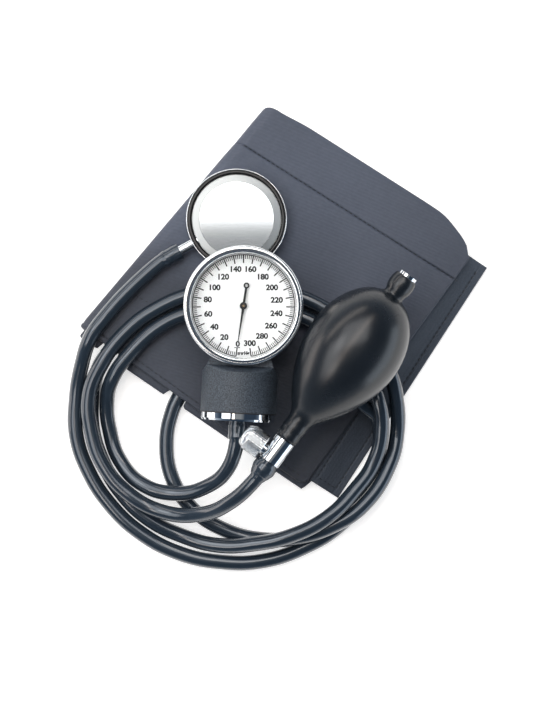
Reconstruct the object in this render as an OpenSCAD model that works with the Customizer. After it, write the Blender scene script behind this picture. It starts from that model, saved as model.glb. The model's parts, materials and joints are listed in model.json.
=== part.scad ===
// Aneroid sphygmomanometer kit lying on a table: a folded arm cuff with its bladder, a gauge
// with a dial and a capsule drum, a hand bulb with an air release valve, a chest piece and the
// three hoses that wander over the cuff. Millimetres, +Z up.
// The origin is on the underside of the folded cuff, below the gauge's right-hand half.

/* [Cuff] */
// Width of the cuff's band, along its folds
cuff_width = 142; // [136:0.5:150]
// Length of the folded top leaf, from the outer fold to its free end
top_leaf_length = 136.6; // [132:0.1:142]
// Thickness of one cloth leaf
leaf_t = 2.6; // [2.2:0.1:3]
// Air between two leaves that lie on each other
leaf_gap = 0.4; // [0.3:0.1:0.6]
// Amount by which the lower leaves stick out below the top leaf's long edge
lower_leaf_show = 4; // [2:0.5:6]
// Width of the fastening flap beyond the fold that lets it droop
flap_w = 17.5; // [14:0.5:20]
// Length of the fastening flap
flap_length = 137; // [125:1:140]
// Height of the flap's upper edge above the table
flap_edge_z = 2.9; // [2.9:0.1:5]
// Thickness of the hook tape sewn on the flap
hook_t = 1.2; // [0.8:0.1:1.5]
// Thickness of the flat air bladder
bladder_t = 1.2; // [0.8:0.1:1.3]
// Width of the notches where the hoses enter the cuff
notch_w = 14; // [12:0.5:18]

/* [Gauge] */
// Outer radius of the bezel
bezel_r = 29.3; // [28.8:0.1:31]
// Radius of the opening that shows the dial
dial_view_r = 25.7; // [25:0.1:25.9]
// Height of the bezel's underside
bezel_z = 42; // [41.6:0.1:44]
// Height of the bezel above its underside
bezel_h = 6; // [5.6:0.1:7]
// Thickness of the crystal
crystal_t = 1.5; // [1:0.1:2]
// Thickness of the dial plate
dial_t = 0.8; // [0.5:0.1:1.2]
// Height of the underside of the gauge case
case_z = 22; // [20:0.1:23]
// Thickness of the case's wall and floor
case_wall = 2; // [1.6:0.1:2.2]
// Radius of the capsule drum
drum_r = 18.65; // [17:0.05:18.65]
// Length of the drum behind its front ridge
drum_length = 19.6; // [19:0.1:24]
// Thickness of the chrome base flange that closes the drum
flange_t = 3.6; // [2.5:0.1:4.5]
// Length of the pointer from its hub to its tip
pointer_tip = 17.5; // [14:0.5:20]
// Length of the pointer's tail
pointer_tail = 10.6; // [8:0.1:12]
// Angle that the pointer sweeps from 0 to 300 on the scale
scale_sweep = 342.86; // [300:0.01:350]

/* [Movement] */
// Teeth on the pinion
pinion_teeth = 10; // [8:1:12]
// Pitch radius of the sector gear
sector_pitch_r = 12; // [11.5:0.1:12.5]
// Length of the lever that the push rod lifts
lever_r = 4; // [3.5:0.1:4.5]
// Radius of the capsule's diaphragms
capsule_r = 14; // [11:0.5:15]
// Radius of the push rod
rod_r = 0.8; // [0.6:0.05:1]
// Running clearance of arbors and rods in their holes
running_gap = 0.05; // [0.02:0.01:0.09]

/* [Bulb and valve] */
// Largest radius of the rubber bulb
bulb_r = 24.05; // [22:0.05:24.05]
// Distance from the tail ring to the bulb's widest place
bulb_mid = 43; // [42:0.5:46]
// Wall of the bulb
bulb_wall = 2.2; // [1.6:0.1:3]
// Radius of the bulb's neck on the valve
neck_r = 5.7; // [5.2:0.1:6]
// Radius of the valve's body
valve_r = 5.5; // [5:0.1:5.8]
// Length of the valve's body between the bulb and the hose
valve_length = 13.9; // [13.9:0.1:16]
// Radius of the release knob
knob_r = 6.7; // [6:0.1:6.7]
// Length of the release knob
knob_length = 12; // [11.5:0.1:12]
// Number of grooves round the knob
knob_grooves = 24; // [16:1:28]
// Radius of the needle in the valve
needle_r = 1.2; // [1:0.05:1.4]

/* [Chest piece] */
// Outer radius of the chest piece
chest_r = 25; // [23:0.1:25]
// Height of the chest piece
chest_h = 8.7; // [8.4:0.1:10]
// Radius of the polished disc in its middle
chest_disc_r = 18.6; // [17:0.1:19]
// Radius of the stem
stem_r = 2.5; // [2.2:0.1:2.8]

/* [Hoses] */
// Outer diameter of the hoses
hose_d = 7.6; // [6.8:0.1:7.6]
// Sides of a hose's cross-section
hose_sides = 10; // [8:2:12]
// Radius of the barbs that the hoses are pushed on
barb_r = 2.6; // [2.2:0.1:3]
// Length of the barbs
barb_length = 9; // [7:0.5:10]

/* [Hidden] */

// Round pieces are cut this finely
big_fn = 96;
mid_fn = 48;
small_fn = 24;
// Small overlap that lets one shape cut cleanly through another
cut = 1;
// Clearance of sewn, clipped and screwed pieces that don't move
fit_gap = 0.05;

// Place of the cuff: its lower left corner and the direction of its long edges
cuff_x = -101.2;
cuff_y = -11.9;
cuff_turn = -40.2;
leaf_step = leaf_t + leaf_gap;
outer_fold_r = (3 * leaf_step + leaf_t) / 2;
inner_fold_r = (leaf_step + leaf_t) / 2;
bottom_slope = 4.8;
top_slope = 7.7;
// The top edge rises faster over the first stretch from the fold
top_knee_x = 22;
top_knee_rise = 6.9;
// Rounding of the top leaf's free corners, measured from the sharp corner
free_corner = 3.6;
tip_lean = 10.6;
tip_cut = [[0.4, -12], [-0.6, -10], [-5.2, -6.9], [-12.5, -5.6], [-23, -3.1], [-33, -4.5]];
lower_leaf_inset = 3;
lower_corner = 6;
// The flap's own frame: its right-hand lower corner and direction, seen from the cuff's corner
flap_x = top_leaf_length + 17.2;
flap_y = 17.6;
flap_turn = 7.3;
flap_bend_x = -flap_w;
// The right-hand fold ends this far before the flap starts to droop
right_fold_gap = 3.7;
right_fold_x = flap_bend_x - right_fold_gap - inner_fold_r;
// The right-hand fold starts this far inside the leaves' corners, and it and the flap lap over
// the leaves' ends by as much
fold_step = 1;
right_leaf_x = right_fold_x - fold_step;
flap_root_z = 2 * leaf_step + 0.2;
// The bladder's rectangle in the cuff and the pocket round it
bladder_left = 12;
bladder_front = 22;
bladder_back = cuff_width - 14;
pocket_play = 1;
pocket_t = bladder_t + 0.2;
pocket_z = (leaf_t - pocket_t) / 2;
// Hose ports: where each hose ends, its direction, and the depth of its notch
valve_port_at = [-50.8, -45, 4.3];
valve_port_turn = 65;
gauge_port_at = [-87.4, -25.2, 4.3];
gauge_port_turn = 58.3;
notch_back = 8;
tongue_w = 8;

// Place of the gauge
gauge_x = -19.3;
gauge_y = -2.25;
gauge_turn = -3;
case_r = bezel_r - 2.2;
case_top = bezel_z + 2.2;
case_ledge = 1.2;
dial_z = bezel_z - 2.8;
dial_r = dial_view_r - 0.1;
gasket_t = 0.9;
crystal_r = case_r - 0.1;
bezel_lip_z = case_top + gasket_t + crystal_t;
ridge_y = -(bezel_r + 3.3);
drum_end_y = ridge_y - drum_length;
drum_gasket_t = 0.6;
flange_y = drum_end_y - drum_gasket_t;
flange_end_y = flange_y - flange_t;
drum_z = 30.6;
drum_wall = 2;
// The neck widens from the case to the drum, and rises to its ridge clear of the bezel
neck_root_half_w = 14.2;
neck_root_y = -(bezel_r - 5);
neck_half_w = 16.4;
neck_y = -(bezel_r + 0.3);
neck_top_z = bezel_z - 0.3;
shoulder_r = bezel_r - 0.5;
shoulder_h = 2.5;
movement_z = case_z + case_wall;
back_plate_z = movement_z + 2;
plate_t = 1;
front_plate_z = 34.5;
gear_z = 31.8;
gear_t = 1;
tooth_module = sector_pitch_r / 50;
pinion_pitch_r = pinion_teeth * tooth_module / 2;
tooth_pitch_len = PI * tooth_module;
tooth_w = 0.38 * tooth_pitch_len;
tooth_up = 0.7 * tooth_module;
tooth_down = 1.05 * tooth_module;
sector_sweep = scale_sweep * pinion_pitch_r / sector_pitch_r;
arbor_x = -lever_r;
arbor_y = -sqrt(pow(pinion_pitch_r + sector_pitch_r, 2) - lever_r * lever_r);
mesh_turn = atan2(-arbor_y, -arbor_x);
sector_tooth_turn = 360 * tooth_module / (2 * sector_pitch_r);
sector_teeth = floor(sector_sweep / sector_tooth_turn) + 4;
lever_pin_r = 0.5;
pin_gap = 0.02;
rod_travel = 2 * lever_r * sin(sector_sweep / 2);
rod_top_y = arbor_y - lever_r * sin(sector_sweep / 2) - lever_pin_r - pin_gap;
arbor_r = 0.6;
pinion_shaft_r = 0.5;
pillar_places = [[-11, -17], [9, -17], [0, 9]];
pointer_z = 41.4;
pointer_t = 0.4;
hub_r = 1.75;
// The printed zero lies this far left of straight down, as the dial stands upright
zero_turn = -90 - (360 - scale_sweep) / 2 - gauge_turn;
capsule_y = flange_y + 7.9;
capsule_rise = 2.1;
boss_r = 2.2;
boss_h = 2;
diaphragm_t = 0.4;

// Place of the bulb's axis: the tail ring, its heading and its downward tilt
bulb_x = 60.3;
bulb_y = 11.6;
bulb_z = 46;
bulb_heading = 233.3;
bulb_tilt = 2.7;
tail_length = 11.2;
tail_r = 5.6;
tail_lip_r = 6.25;
tail_bore_r = 3.7;
bulb_tail_half = bulb_mid - 10.4;
front_reach = 49.5;
front_length = 43.3;
neck_length = 12.4;
neck_start = bulb_mid + front_length;
valve_start = neck_start + neck_length;
valve_end = valve_start + valve_length;
valve_barb_r = 3.6;
valve_barb_length = 10.7;
valve_bore_r = 1.5;
check_disc_r = 2.5;
check_disc_t = 0.8;
check_bore_r = check_disc_r + 0.08;
intake_travel = 0.7;
outlet_travel = 0.5;
seat_gap = 0.05;
intake_flange_r = 5;
intake_flange_t = 1.5;
screen_r = 3;
screen_t = 0.6;
intake_seat_t = 3;
intake_bore_r = 1.6;
seat_ring_t = 1.5;
seat_bore_r = 1.2;
// Room beyond the lifted disc, and the slot that lets air past it
chamber_room = 0.3;
slot_length = 4.6;
slot_w = 1;
slot_depth = 1.9;
knob_place = valve_end - 4.1;
knob_start = 6.4;
knob_end = knob_start + knob_length;
knob_chamfer = 1.4;
knob_boss_r = 3.2;
knob_boss_end = 9.5;
knob_skirt = 3.5;
needle_seat = 2;
needle_tip = 1.9;
needle_end = 15;
ring_wire_r = 0.5;
ring_groove_start = 7.5;

// Place of the chest piece
chest_x = -22.9;
chest_y = 40.96;
chest_z = 11.9;
chest_stem_turn = 208.9;
chest_stem_z = 15.9;
stem_end = 32.03;
chest_lip_w = 1;
chest_ring_w = 2.2;
stem_barb_r = 2.2;
chest_lip_h = chest_h - 1.7;
chest_ring_h = chest_h - 1.4;
chest_bevel_h = chest_h - 1.2;
chest_disc_t = 0.6;
chest_ring_t = 3.6;
diaphragm_seat = 0.4;
chest_diaphragm_t = 0.4;

// Hose connector under the bulb
connector_at = [23.5, -38.5, 15.6];
connector_turn = 159;
connector_r = 3.4;
connector_stem = 8;
connector_leg = 7;
connector_spread = 25;

// Routes of the hoses, from the fitting where each starts to the one where it ends
gauge_route = [
    [-22.2, -58.6, 30.6], [-22.7, -68.6, 30.4], [-27, -82, 26], [-37, -91, 18.5], [-53, -95, 12.5],
    [-69, -91, 9.5], [-81, -79, 5], [-86.5, -63, 3.9], [-87.5, -50, 6.8], [-84.5, -38, 13.2],
    [-76.5, -26.5, 15.8], [-60, -11.5, 15.6], [-40, -4, 15.6], [-19, -2, 15.6], [2, -5, 15.6],
    [21, -13.5, 15.6], [36, -26.5, 15.7], [42.5, -37.5, 16.6], [49, -46, 19.6], [52.5, -62, 15.8],
    [46, -79, 13], [36, -93, 15], [23, -106, 17.4], [5, -115.5, 16.8], [-14, -120, 12.3],
    [-32, -121, 7.6], [-50, -116.5, 3.9], [-67, -108, 3.9], [-80.5, -95, 3.9], [-89.5, -80, 3.9],
    [-95, -62, 3.9], [-94.5, -45, 3.9], [-91.6, -32, 4.2], [-87.4, -25.2, 4.3]];
valve_route = [
    [-7, -78.6, 40.7], [-13, -86.6, 40.2], [-25, -98, 33], [-41, -105, 21], [-60, -104, 13],
    [-77, -95, 11.8], [-89, -81, 11.7], [-95, -64, 11.8], [-96, -46, 12.8], [-90, -31, 15.5],
    [-79, -16, 15.6], [-62, -3, 15.6], [-41, 5, 15.6], [-19, 7.5, 15.6], [4, 4, 15.6],
    [24, -5, 15.6], [41, -17, 15.8], [51.5, -30, 15.7], [56, -51, 11], [58, -69, 5.5],
    [51, -86, 11], [40, -101, 11.8], [25, -111, 11.7], [7, -117, 9.2], [-12, -118, 4.6],
    [-30, -113, 3.9], [-45, -103, 3.9], [-55, -88, 3.9], [-58, -70, 3.9], [-55, -54, 4.1],
    [-50.8, -45, 4.3]];
chestpiece_route = [
    [-50.9, 25.4, 15.9], [-59.6, 20.6, 15.8], [-74, 8, 15.6], [-87, -6, 15.6], [-95, -17, 15.6],
    [-100, -31, 9.5], [-103, -48, 4.4], [-103, -66, 3.9], [-97, -84, 3.9], [-86, -101, 3.9],
    [-71, -115, 3.9], [-52, -125, 3.9], [-31, -129.5, 3.9], [-10, -129, 3.9], [10, -122.5, 3.9],
    [28, -111.5, 3.9], [42, -95, 3.9], [48, -74, 4.9], [47, -58, 10.2], [39.5, -50.5, 15.2],
    [32.5, -42, 15.6], [23.5, -38.5, 15.6]];
// The hose is stretched to these radii where it is pushed on the gauge, the valve and the stem
gauge_cuff_r = 4.3;
valve_cuff_r = 6;
stem_cuff_r = 4.2;

// Frames in which the assemblies are drawn
module in_cuff() {
    translate([cuff_x, cuff_y, 0])
        rotate(cuff_turn)
            children();
}

module in_flap() {
    in_cuff()
        translate([flap_x, flap_y, 0])
            rotate(flap_turn)
                children();
}

module in_gauge() {
    translate([gauge_x, gauge_y, 0])
        rotate(gauge_turn)
            children();
}

// The drum's axis: z runs from the dial's side towards the base flange
module on_drum_axis(y = 0) {
    in_gauge()
        translate([0, y, drum_z])
            rotate([90, 0, 0])
                children();
}

// The bulb's axis: z runs from the tail ring to the valve, x points down
module on_bulb_axis(t = 0) {
    translate([bulb_x, bulb_y, bulb_z])
        rotate([0, 90 + bulb_tilt, bulb_heading])
            translate([0, 0, t])
                children();
}

// The knob's axis: z runs outwards from the valve's axis
module on_knob_axis(d = 0) {
    on_bulb_axis(knob_place)
        rotate([90, 0, 0])
            translate([0, 0, d])
                children();
}

module in_chest() {
    translate([chest_x, chest_y, chest_z])
        children();
}

// The stem's axis: z runs outwards from the chest piece's axis
module on_stem_axis(d = 0) {
    translate([chest_x, chest_y, chest_stem_z])
        rotate([0, 90, chest_stem_turn])
            translate([0, 0, d])
                children();
}

// A ring or tube with a round bore
module tube(r_out, r_in, h, fn = mid_fn) {
    difference() {
        cylinder(r = r_out, h = h, $fn = fn);
        translate([0, 0, -cut])
            cylinder(r = r_in, h = h + 2 * cut, $fn = fn);
    }
}

// Tapered barbs along z, as a hose grips them
module barbs(r, length, count = 3) {
    step = length / count;
    root = 0.85 * r;
    rotate_extrude($fn = mid_fn)
        polygon(concat(
            [[0, 0]],
            [for (i = [0:count - 1]) each [[root, i * step], [root, (i + 0.3) * step], [r, (i + 0.3) * step]]],
            [[root, length], [0, length]]));
}

// Half of a round fold on the left or the right of a leaf's end, with a short flat stretch of
// both leaves
module fold(r_out, r_in, side) {
    stub = 2;
    difference() {
        circle(r = r_out, $fn = mid_fn);
        circle(r = r_in, $fn = mid_fn);
        translate([side > 0 ? -r_out - cut : 0, -r_out - cut])
            square([r_out + cut, 2 * (r_out + cut)]);
    }
    for (low = [-r_out, r_in])
        translate([side > 0 ? -stub : 0, low])
            square([stub, r_out - r_in]);
}

// Draws a section of the x-z plane along y, from y0 to y1
module along_y(y0, y1) {
    translate([0, y1, 0])
        rotate([90, 0, 0])
            linear_extrude(y1 - y0)
                children();
}

// Turns a vector in the plane
function turned(v, a) = [v.x * cos(a) - v.y * sin(a), v.x * sin(a) + v.y * cos(a)];
// A point of the flap's frame, and a point of the table, seen from the cuff's corner
function flap_point(x, y) = [flap_x, flap_y] + turned([x, y], flap_turn);
function cuff_point(p) = turned([p.x - cuff_x, p.y - cuff_y], -cuff_turn);
// Place along the flap's frame where a line x reaches a given y of the cuff
function flap_reach(x, y) = (y - flap_y - x * sin(flap_turn)) / cos(flap_turn);
function top_edge(x) = cuff_width + top_knee_rise + (x - top_knee_x) * tan(top_slope);

// Cuff

module top_leaf_outline() {
    tip_x = top_leaf_length - tip_lean;
    polygon(concat(
        [[outer_fold_r, 0],
            [top_leaf_length - free_corner, (top_leaf_length - free_corner) * tan(bottom_slope)],
            [top_leaf_length, top_leaf_length * tan(bottom_slope) + free_corner]],
        [for (p = tip_cut) [tip_x + p.x, top_edge(tip_x) + p.y]],
        [[top_knee_x, top_edge(top_knee_x)], [outer_fold_r, cuff_width]]));
}

module lower_leaf_outline(right_x, low, inset) {
    polygon([
        [outer_fold_r, -low],
        flap_point(right_x, -lower_corner),
        flap_point(right_x, flap_length - inset),
        [outer_fold_r, cuff_width - inset]]);
}

module bladder_outline(play) {
    low = bladder_front - play;
    polygon([
        [bladder_left - play, low],
        flap_point(right_leaf_x, flap_reach(right_leaf_x, low)),
        flap_point(right_leaf_x, flap_reach(right_leaf_x, bladder_back + play)),
        [bladder_left - play, bladder_back + play]]);
}

// The flat bag, or the pocket that holds it: a leaf below, a leaf above and the fold between
module bladder_shape(play, t) {
    z = (leaf_t - t) / 2;
    for (level = [0, 1])
        in_cuff()
            translate([0, 0, level * leaf_step + z])
                linear_extrude(t)
                    bladder_outline(play);
    in_flap()
        along_y(flap_reach(right_fold_x, bladder_front - play) + fold_step,
            flap_reach(right_fold_x, bladder_back + play) - fold_step)
            translate([right_fold_x, inner_fold_r])
                fold(inner_fold_r - z, inner_fold_r - z - t, 1);
}

module notch(port) {
    place = cuff_point(port);
    in_cuff()
        translate([place.x - notch_w / 2, place.y - 4 * notch_back, -cut])
            cube([notch_w, 5 * notch_back, 3 * leaf_step - leaf_gap / 2 + cut]);
}

module tongue(port, play) {
    place = cuff_point(port);
    start = place.y + 2;
    w = tongue_w + 2 * play;
    t = bladder_t + (play > 0 ? 0.2 : 0);
    in_cuff()
        translate([place.x - w / 2, start, (leaf_t - t) / 2])
            cube([w, bladder_front - start, t]);
}

module cuff_sleeve() {
    color("#3b4257")
        difference() {
            union() {
                in_cuff() {
                    translate([0, 0, 3 * leaf_step])
                        linear_extrude(leaf_t)
                            top_leaf_outline();
                    translate([0, 0, 2 * leaf_step])
                        linear_extrude(leaf_t)
                            lower_leaf_outline(flap_bend_x, lower_leaf_show, 0);
                    translate([0, 0, leaf_step])
                        linear_extrude(leaf_t)
                            lower_leaf_outline(right_leaf_x, lower_leaf_show, lower_leaf_inset);
                    linear_extrude(leaf_t)
                        lower_leaf_outline(right_leaf_x, 0, lower_leaf_inset);
                    along_y(0, cuff_width - lower_leaf_inset)
                        translate([outer_fold_r, outer_fold_r])
                            fold(outer_fold_r, outer_fold_r - leaf_t, -1);
                    along_y(-lower_leaf_show, cuff_width - lower_leaf_inset)
                        translate([outer_fold_r, outer_fold_r])
                            fold(inner_fold_r, inner_fold_r - leaf_t, -1);
                }
                in_flap() {
                    along_y(fold_step - lower_corner, flap_length - lower_leaf_inset - fold_step)
                        translate([right_fold_x, inner_fold_r])
                            fold(inner_fold_r, inner_fold_r - leaf_t, 1);
                    along_y(0, flap_length)
                        polygon([
                            [flap_bend_x - fold_step, flap_root_z], [flap_bend_x, flap_root_z],
                            [0, flap_edge_z - leaf_t], [0, flap_edge_z - hook_t],
                            [flap_bend_x, 3 * leaf_step - leaf_gap - hook_t],
                            [flap_bend_x - fold_step, 3 * leaf_step - leaf_gap - hook_t]]);
                }
            }
            bladder_shape(pocket_play, pocket_t);
            notch(valve_port_at);
            notch(gauge_port_at);
            tongue(valve_port_at, 0.2);
            tongue(gauge_port_at, 0.2);
        }
}

module hook_strip() {
    color("#2b2f3b")
        in_flap()
            along_y(0, flap_length)
                polygon([
                    [flap_bend_x, 3 * leaf_step - leaf_gap - hook_t], [0, flap_edge_z - hook_t],
                    [0, flap_edge_z], [flap_bend_x, 3 * leaf_step - leaf_gap]]);
}

module air_bladder() {
    color("#26262a")
        bladder_shape(0, bladder_t);
}

// A moulded port: a barb in the hose, a collar, and a flat tongue that ends at the bladder
module port(at, turn) {
    collar = 3;
    block = 5;
    color("#1d1e21") {
        difference() {
            union() {
                translate(at)
                    rotate([0, 90, turn]) {
                        translate([0, 0, -barb_length])
                            barbs(barb_r, barb_length);
                        cylinder(r = barb_r + 0.6, h = collar, $fn = mid_fn);
                    }
                translate([at.x, at.y, 0])
                    rotate(turn)
                        translate([collar - 0.6, -barb_r, pocket_z + 0.1])
                            cube([block, 2 * barb_r, at.z + barb_r - pocket_z]);
                tongue(at, 0);
            }
            translate(at)
                rotate([0, 90, turn])
                    translate([0, 0, -barb_length - cut])
                        cylinder(r = barb_r / 2, h = barb_length + collar + block / 2, $fn = small_fn);
        }
    }
}

module valve_port() {
    port(valve_port_at, valve_port_turn);
}

module gauge_port() {
    port(gauge_port_at, gauge_port_turn);
}

// Gauge

module gauge_housing() {
    color("#23262b")
        difference() {
            union() {
                in_gauge() {
                    translate([0, 0, case_z])
                        cylinder(r = case_r, h = case_top - case_z, $fn = big_fn);
                    translate([0, 0, bezel_z - shoulder_h])
                        cylinder(r = shoulder_r, h = shoulder_h, $fn = big_fn);
                    translate([0, 0, movement_z])
                        linear_extrude(neck_top_z - movement_z)
                            polygon([
                                [-neck_root_half_w, neck_root_y / 2], [-neck_root_half_w, neck_root_y],
                                [-neck_half_w, neck_y], [neck_half_w, neck_y],
                                [neck_root_half_w, neck_root_y], [neck_root_half_w, neck_root_y / 2]]);
                    hull() {
                        translate([-neck_half_w, neck_y, movement_z])
                            cube([2 * neck_half_w, 0.2, neck_top_z - movement_z]);
                        translate([0, ridge_y + 0.2, drum_z])
                            rotate([90, 0, 0])
                                cylinder(r = drum_r, h = 0.2, $fn = big_fn);
                    }
                }
                on_drum_axis(ridge_y)
                    cylinder(r = drum_r, h = drum_length, $fn = big_fn);
            }
            in_gauge() {
                translate([0, 0, movement_z])
                    cylinder(r = dial_view_r - case_ledge, h = case_top, $fn = big_fn);
                translate([0, 0, dial_z])
                    cylinder(r = dial_view_r, h = case_top, $fn = big_fn);
                for (p = pillar_places)
                    translate([p.x, p.y, movement_z - 1.2])
                        cylinder(r = 0.8 + fit_gap, h = 3, $fn = small_fn);
            }
            on_drum_axis(ridge_y - drum_wall)
                cylinder(r = drum_r - drum_wall, h = drum_length, $fn = big_fn);
            on_drum_axis(-case_r / 2)
                cylinder(r = rod_r + running_gap, h = -ridge_y, $fn = small_fn);
        }
}

// Its section: an outer bead, a sloping band, and an inner bead round the crystal
module bezel() {
    bead_r = bezel_r - 0.6;
    band_r = bezel_r - 2.4;
    band_low = bezel_h - 1.2;
    band_high = bezel_h - 0.8;
    color("#c9ccd0")
        in_gauge()
            translate([0, 0, bezel_z])
                rotate_extrude($fn = big_fn)
                    polygon([
                        [case_r, 0], [bezel_r, 0], [bezel_r, band_low - 0.2], [bezel_r - 0.3, band_high + 0.2],
                        [bead_r, band_high + 0.2], [bead_r - 0.4, band_low], [band_r, band_high],
                        [band_r - 0.2, bezel_h], [dial_view_r, bezel_h - 0.4],
                        [dial_view_r, bezel_lip_z - bezel_z], [case_r, bezel_lip_z - bezel_z]]);
}

module crystal_gasket() {
    color("#141518")
        in_gauge()
            translate([0, 0, case_top])
                tube(crystal_r, dial_view_r, gasket_t, big_fn);
}

module crystal() {
    color("#dfe8ee")
        in_gauge()
            translate([0, 0, case_top + gasket_t])
                cylinder(r = crystal_r, h = crystal_t, $fn = big_fn);
}

module dial() {
    color("#f6f6f4")
        in_gauge()
            translate([0, 0, dial_z])
                tube(dial_r, pinion_shaft_r + 0.5, dial_t, big_fn);
}

module pointer() {
    ring_r = 1.25;
    blade_w = 0.7;
    color("#111214")
        in_gauge()
            translate([0, 0, pointer_z])
                difference() {
                    union() {
                        cylinder(r = hub_r, h = 2 * pointer_t, $fn = mid_fn);
                        rotate(zero_turn)
                            linear_extrude(pointer_t) {
                                polygon([
                                    [-pointer_tail + ring_r, -blade_w / 2], [hub_r, -blade_w / 2],
                                    [pointer_tip, -0.12], [pointer_tip, 0.12],
                                    [hub_r, blade_w / 2], [-pointer_tail + ring_r, blade_w / 2]]);
                                translate([-pointer_tail + ring_r / 2, 0])
                                    circle(r = ring_r, $fn = mid_fn);
                            }
                    }
                    rotate(zero_turn)
                        translate([-pointer_tail + ring_r / 2, 0, -cut])
                            cylinder(r = ring_r - 0.5, h = 3 * cut, $fn = mid_fn);
                    translate([0, 0, -cut])
                        cylinder(r = pinion_shaft_r, h = 4 * cut, $fn = small_fn);
                }
}

// A gear tooth of the given pitch radius, pointing along x
module tooth(pitch_r) {
    polygon([
        [pitch_r - 1.5 * tooth_down, -tooth_w / 2 - tooth_down / 4], [pitch_r, -tooth_w / 2],
        [pitch_r + tooth_up, -tooth_w / 4], [pitch_r + tooth_up, tooth_w / 4],
        [pitch_r, tooth_w / 2], [pitch_r - 1.5 * tooth_down, tooth_w / 2 + tooth_down / 4]]);
}

module pinion_arbor() {
    shaft_z = back_plate_z + 0.1;
    pinion_z = gear_z - 0.6;
    color("#b9bcc0")
        in_gauge() {
            translate([0, 0, shaft_z])
                cylinder(r = pinion_shaft_r, h = pointer_z + 2 * pointer_t - shaft_z, $fn = small_fn);
            translate([0, 0, pinion_z])
                cylinder(r = pinion_pitch_r - tooth_down, h = gear_t + 1.2, $fn = small_fn);
            translate([0, 0, pinion_z])
                for (i = [0:pinion_teeth - 1])
                    rotate(mesh_turn + 180 + i * 360 / pinion_teeth)
                        linear_extrude(gear_t + 1.2)
                            tooth(pinion_pitch_r);
        }
}

// A movement plate with holes for the arbors and for the pillars
module movement_plate(z, pillar_hole_r) {
    plate_w = 26;
    plate_l = 31;
    color("#c7a85a")
        in_gauge()
            translate([0, 0, z])
                difference() {
                    translate([-plate_w / 2, -19.5, 0])
                        cube([plate_w, plate_l, plate_t]);
                    translate([0, 0, -cut])
                        cylinder(r = pinion_shaft_r + running_gap, h = 3 * cut, $fn = small_fn);
                    translate([arbor_x, arbor_y, -cut])
                        cylinder(r = arbor_r + running_gap, h = 3 * cut, $fn = small_fn);
                    for (p = pillar_places)
                        translate([p.x, p.y, -cut])
                            cylinder(r = pillar_hole_r + fit_gap, h = 3 * cut, $fn = small_fn);
                }
}

module back_plate() {
    movement_plate(back_plate_z, 0.9);
}

module front_plate() {
    movement_plate(front_plate_z, 0.5);
}

module pillar(i) {
    p = pillar_places[i];
    color("#c7a85a")
        in_gauge()
            translate([p.x, p.y, 0])
                difference() {
                    union() {
                        translate([0, 0, movement_z - 1.1])
                            cylinder(r = 0.8, h = 1.1 + cut, $fn = small_fn);
                        translate([0, 0, movement_z])
                            cylinder(r = 1.8, h = back_plate_z - movement_z, $fn = small_fn);
                        translate([0, 0, back_plate_z])
                            cylinder(r = 0.9, h = plate_t, $fn = small_fn);
                        translate([0, 0, back_plate_z + plate_t])
                            cylinder(r = 1.4, h = front_plate_z - back_plate_z - plate_t, $fn = small_fn);
                    }
                    translate([0, 0, front_plate_z - 3])
                        cylinder(r = 0.5, h = 3 + cut, $fn = small_fn);
                }
}

module plate_screw(i) {
    p = pillar_places[i];
    head_h = 0.8;
    color("#9aa0a6")
        in_gauge()
            translate([p.x, p.y, front_plate_z])
                difference() {
                    union() {
                        translate([0, 0, -2.9])
                            cylinder(r = 0.5, h = 2.9 + plate_t, $fn = small_fn);
                        translate([0, 0, plate_t])
                            cylinder(r = 1.3, h = head_h, $fn = small_fn);
                    }
                    translate([-2, -0.2, plate_t + head_h / 2])
                        cube([4, 0.4, head_h]);
                }
}

module sector_gear() {
    root_r = sector_pitch_r - tooth_down;
    half_tooth = sector_tooth_turn / 2;
    first = mesh_turn + half_tooth - (sector_teeth - 2) * sector_tooth_turn;
    span = sector_teeth * sector_tooth_turn;
    lever_turn = -sector_sweep / 2;
    pin_z = drum_z - rod_r;
    color("#c7a85a")
        in_gauge()
            translate([arbor_x, arbor_y, 0]) {
                translate([0, 0, back_plate_z + 0.1])
                    cylinder(r = arbor_r, h = front_plate_z + plate_t - back_plate_z - 0.2, $fn = small_fn);
                translate([0, 0, gear_z]) {
                    cylinder(r = 2, h = gear_t, $fn = mid_fn);
                    rotate(first - half_tooth)
                        rotate_extrude(angle = span, $fn = big_fn)
                            translate([0.74 * sector_pitch_r, 0])
                                square([root_r - 0.74 * sector_pitch_r, gear_t]);
                    for (a = [0.12, 0.88])
                        rotate(first - half_tooth + a * span)
                            translate([0, -0.7, 0])
                                cube([0.8 * sector_pitch_r, 1.4, gear_t]);
                    for (i = [0:sector_teeth - 1])
                        rotate(first + i * sector_tooth_turn)
                            linear_extrude(gear_t)
                                tooth(sector_pitch_r);
                    rotate(lever_turn) {
                        translate([0, -0.6, 0])
                            cube([lever_r, 1.2, gear_t]);
                        translate([lever_r, 0, pin_z - gear_z])
                            cylinder(r = lever_pin_r, h = gear_z + gear_t - pin_z, $fn = small_fn);
                    }
                }
            }
}

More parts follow.
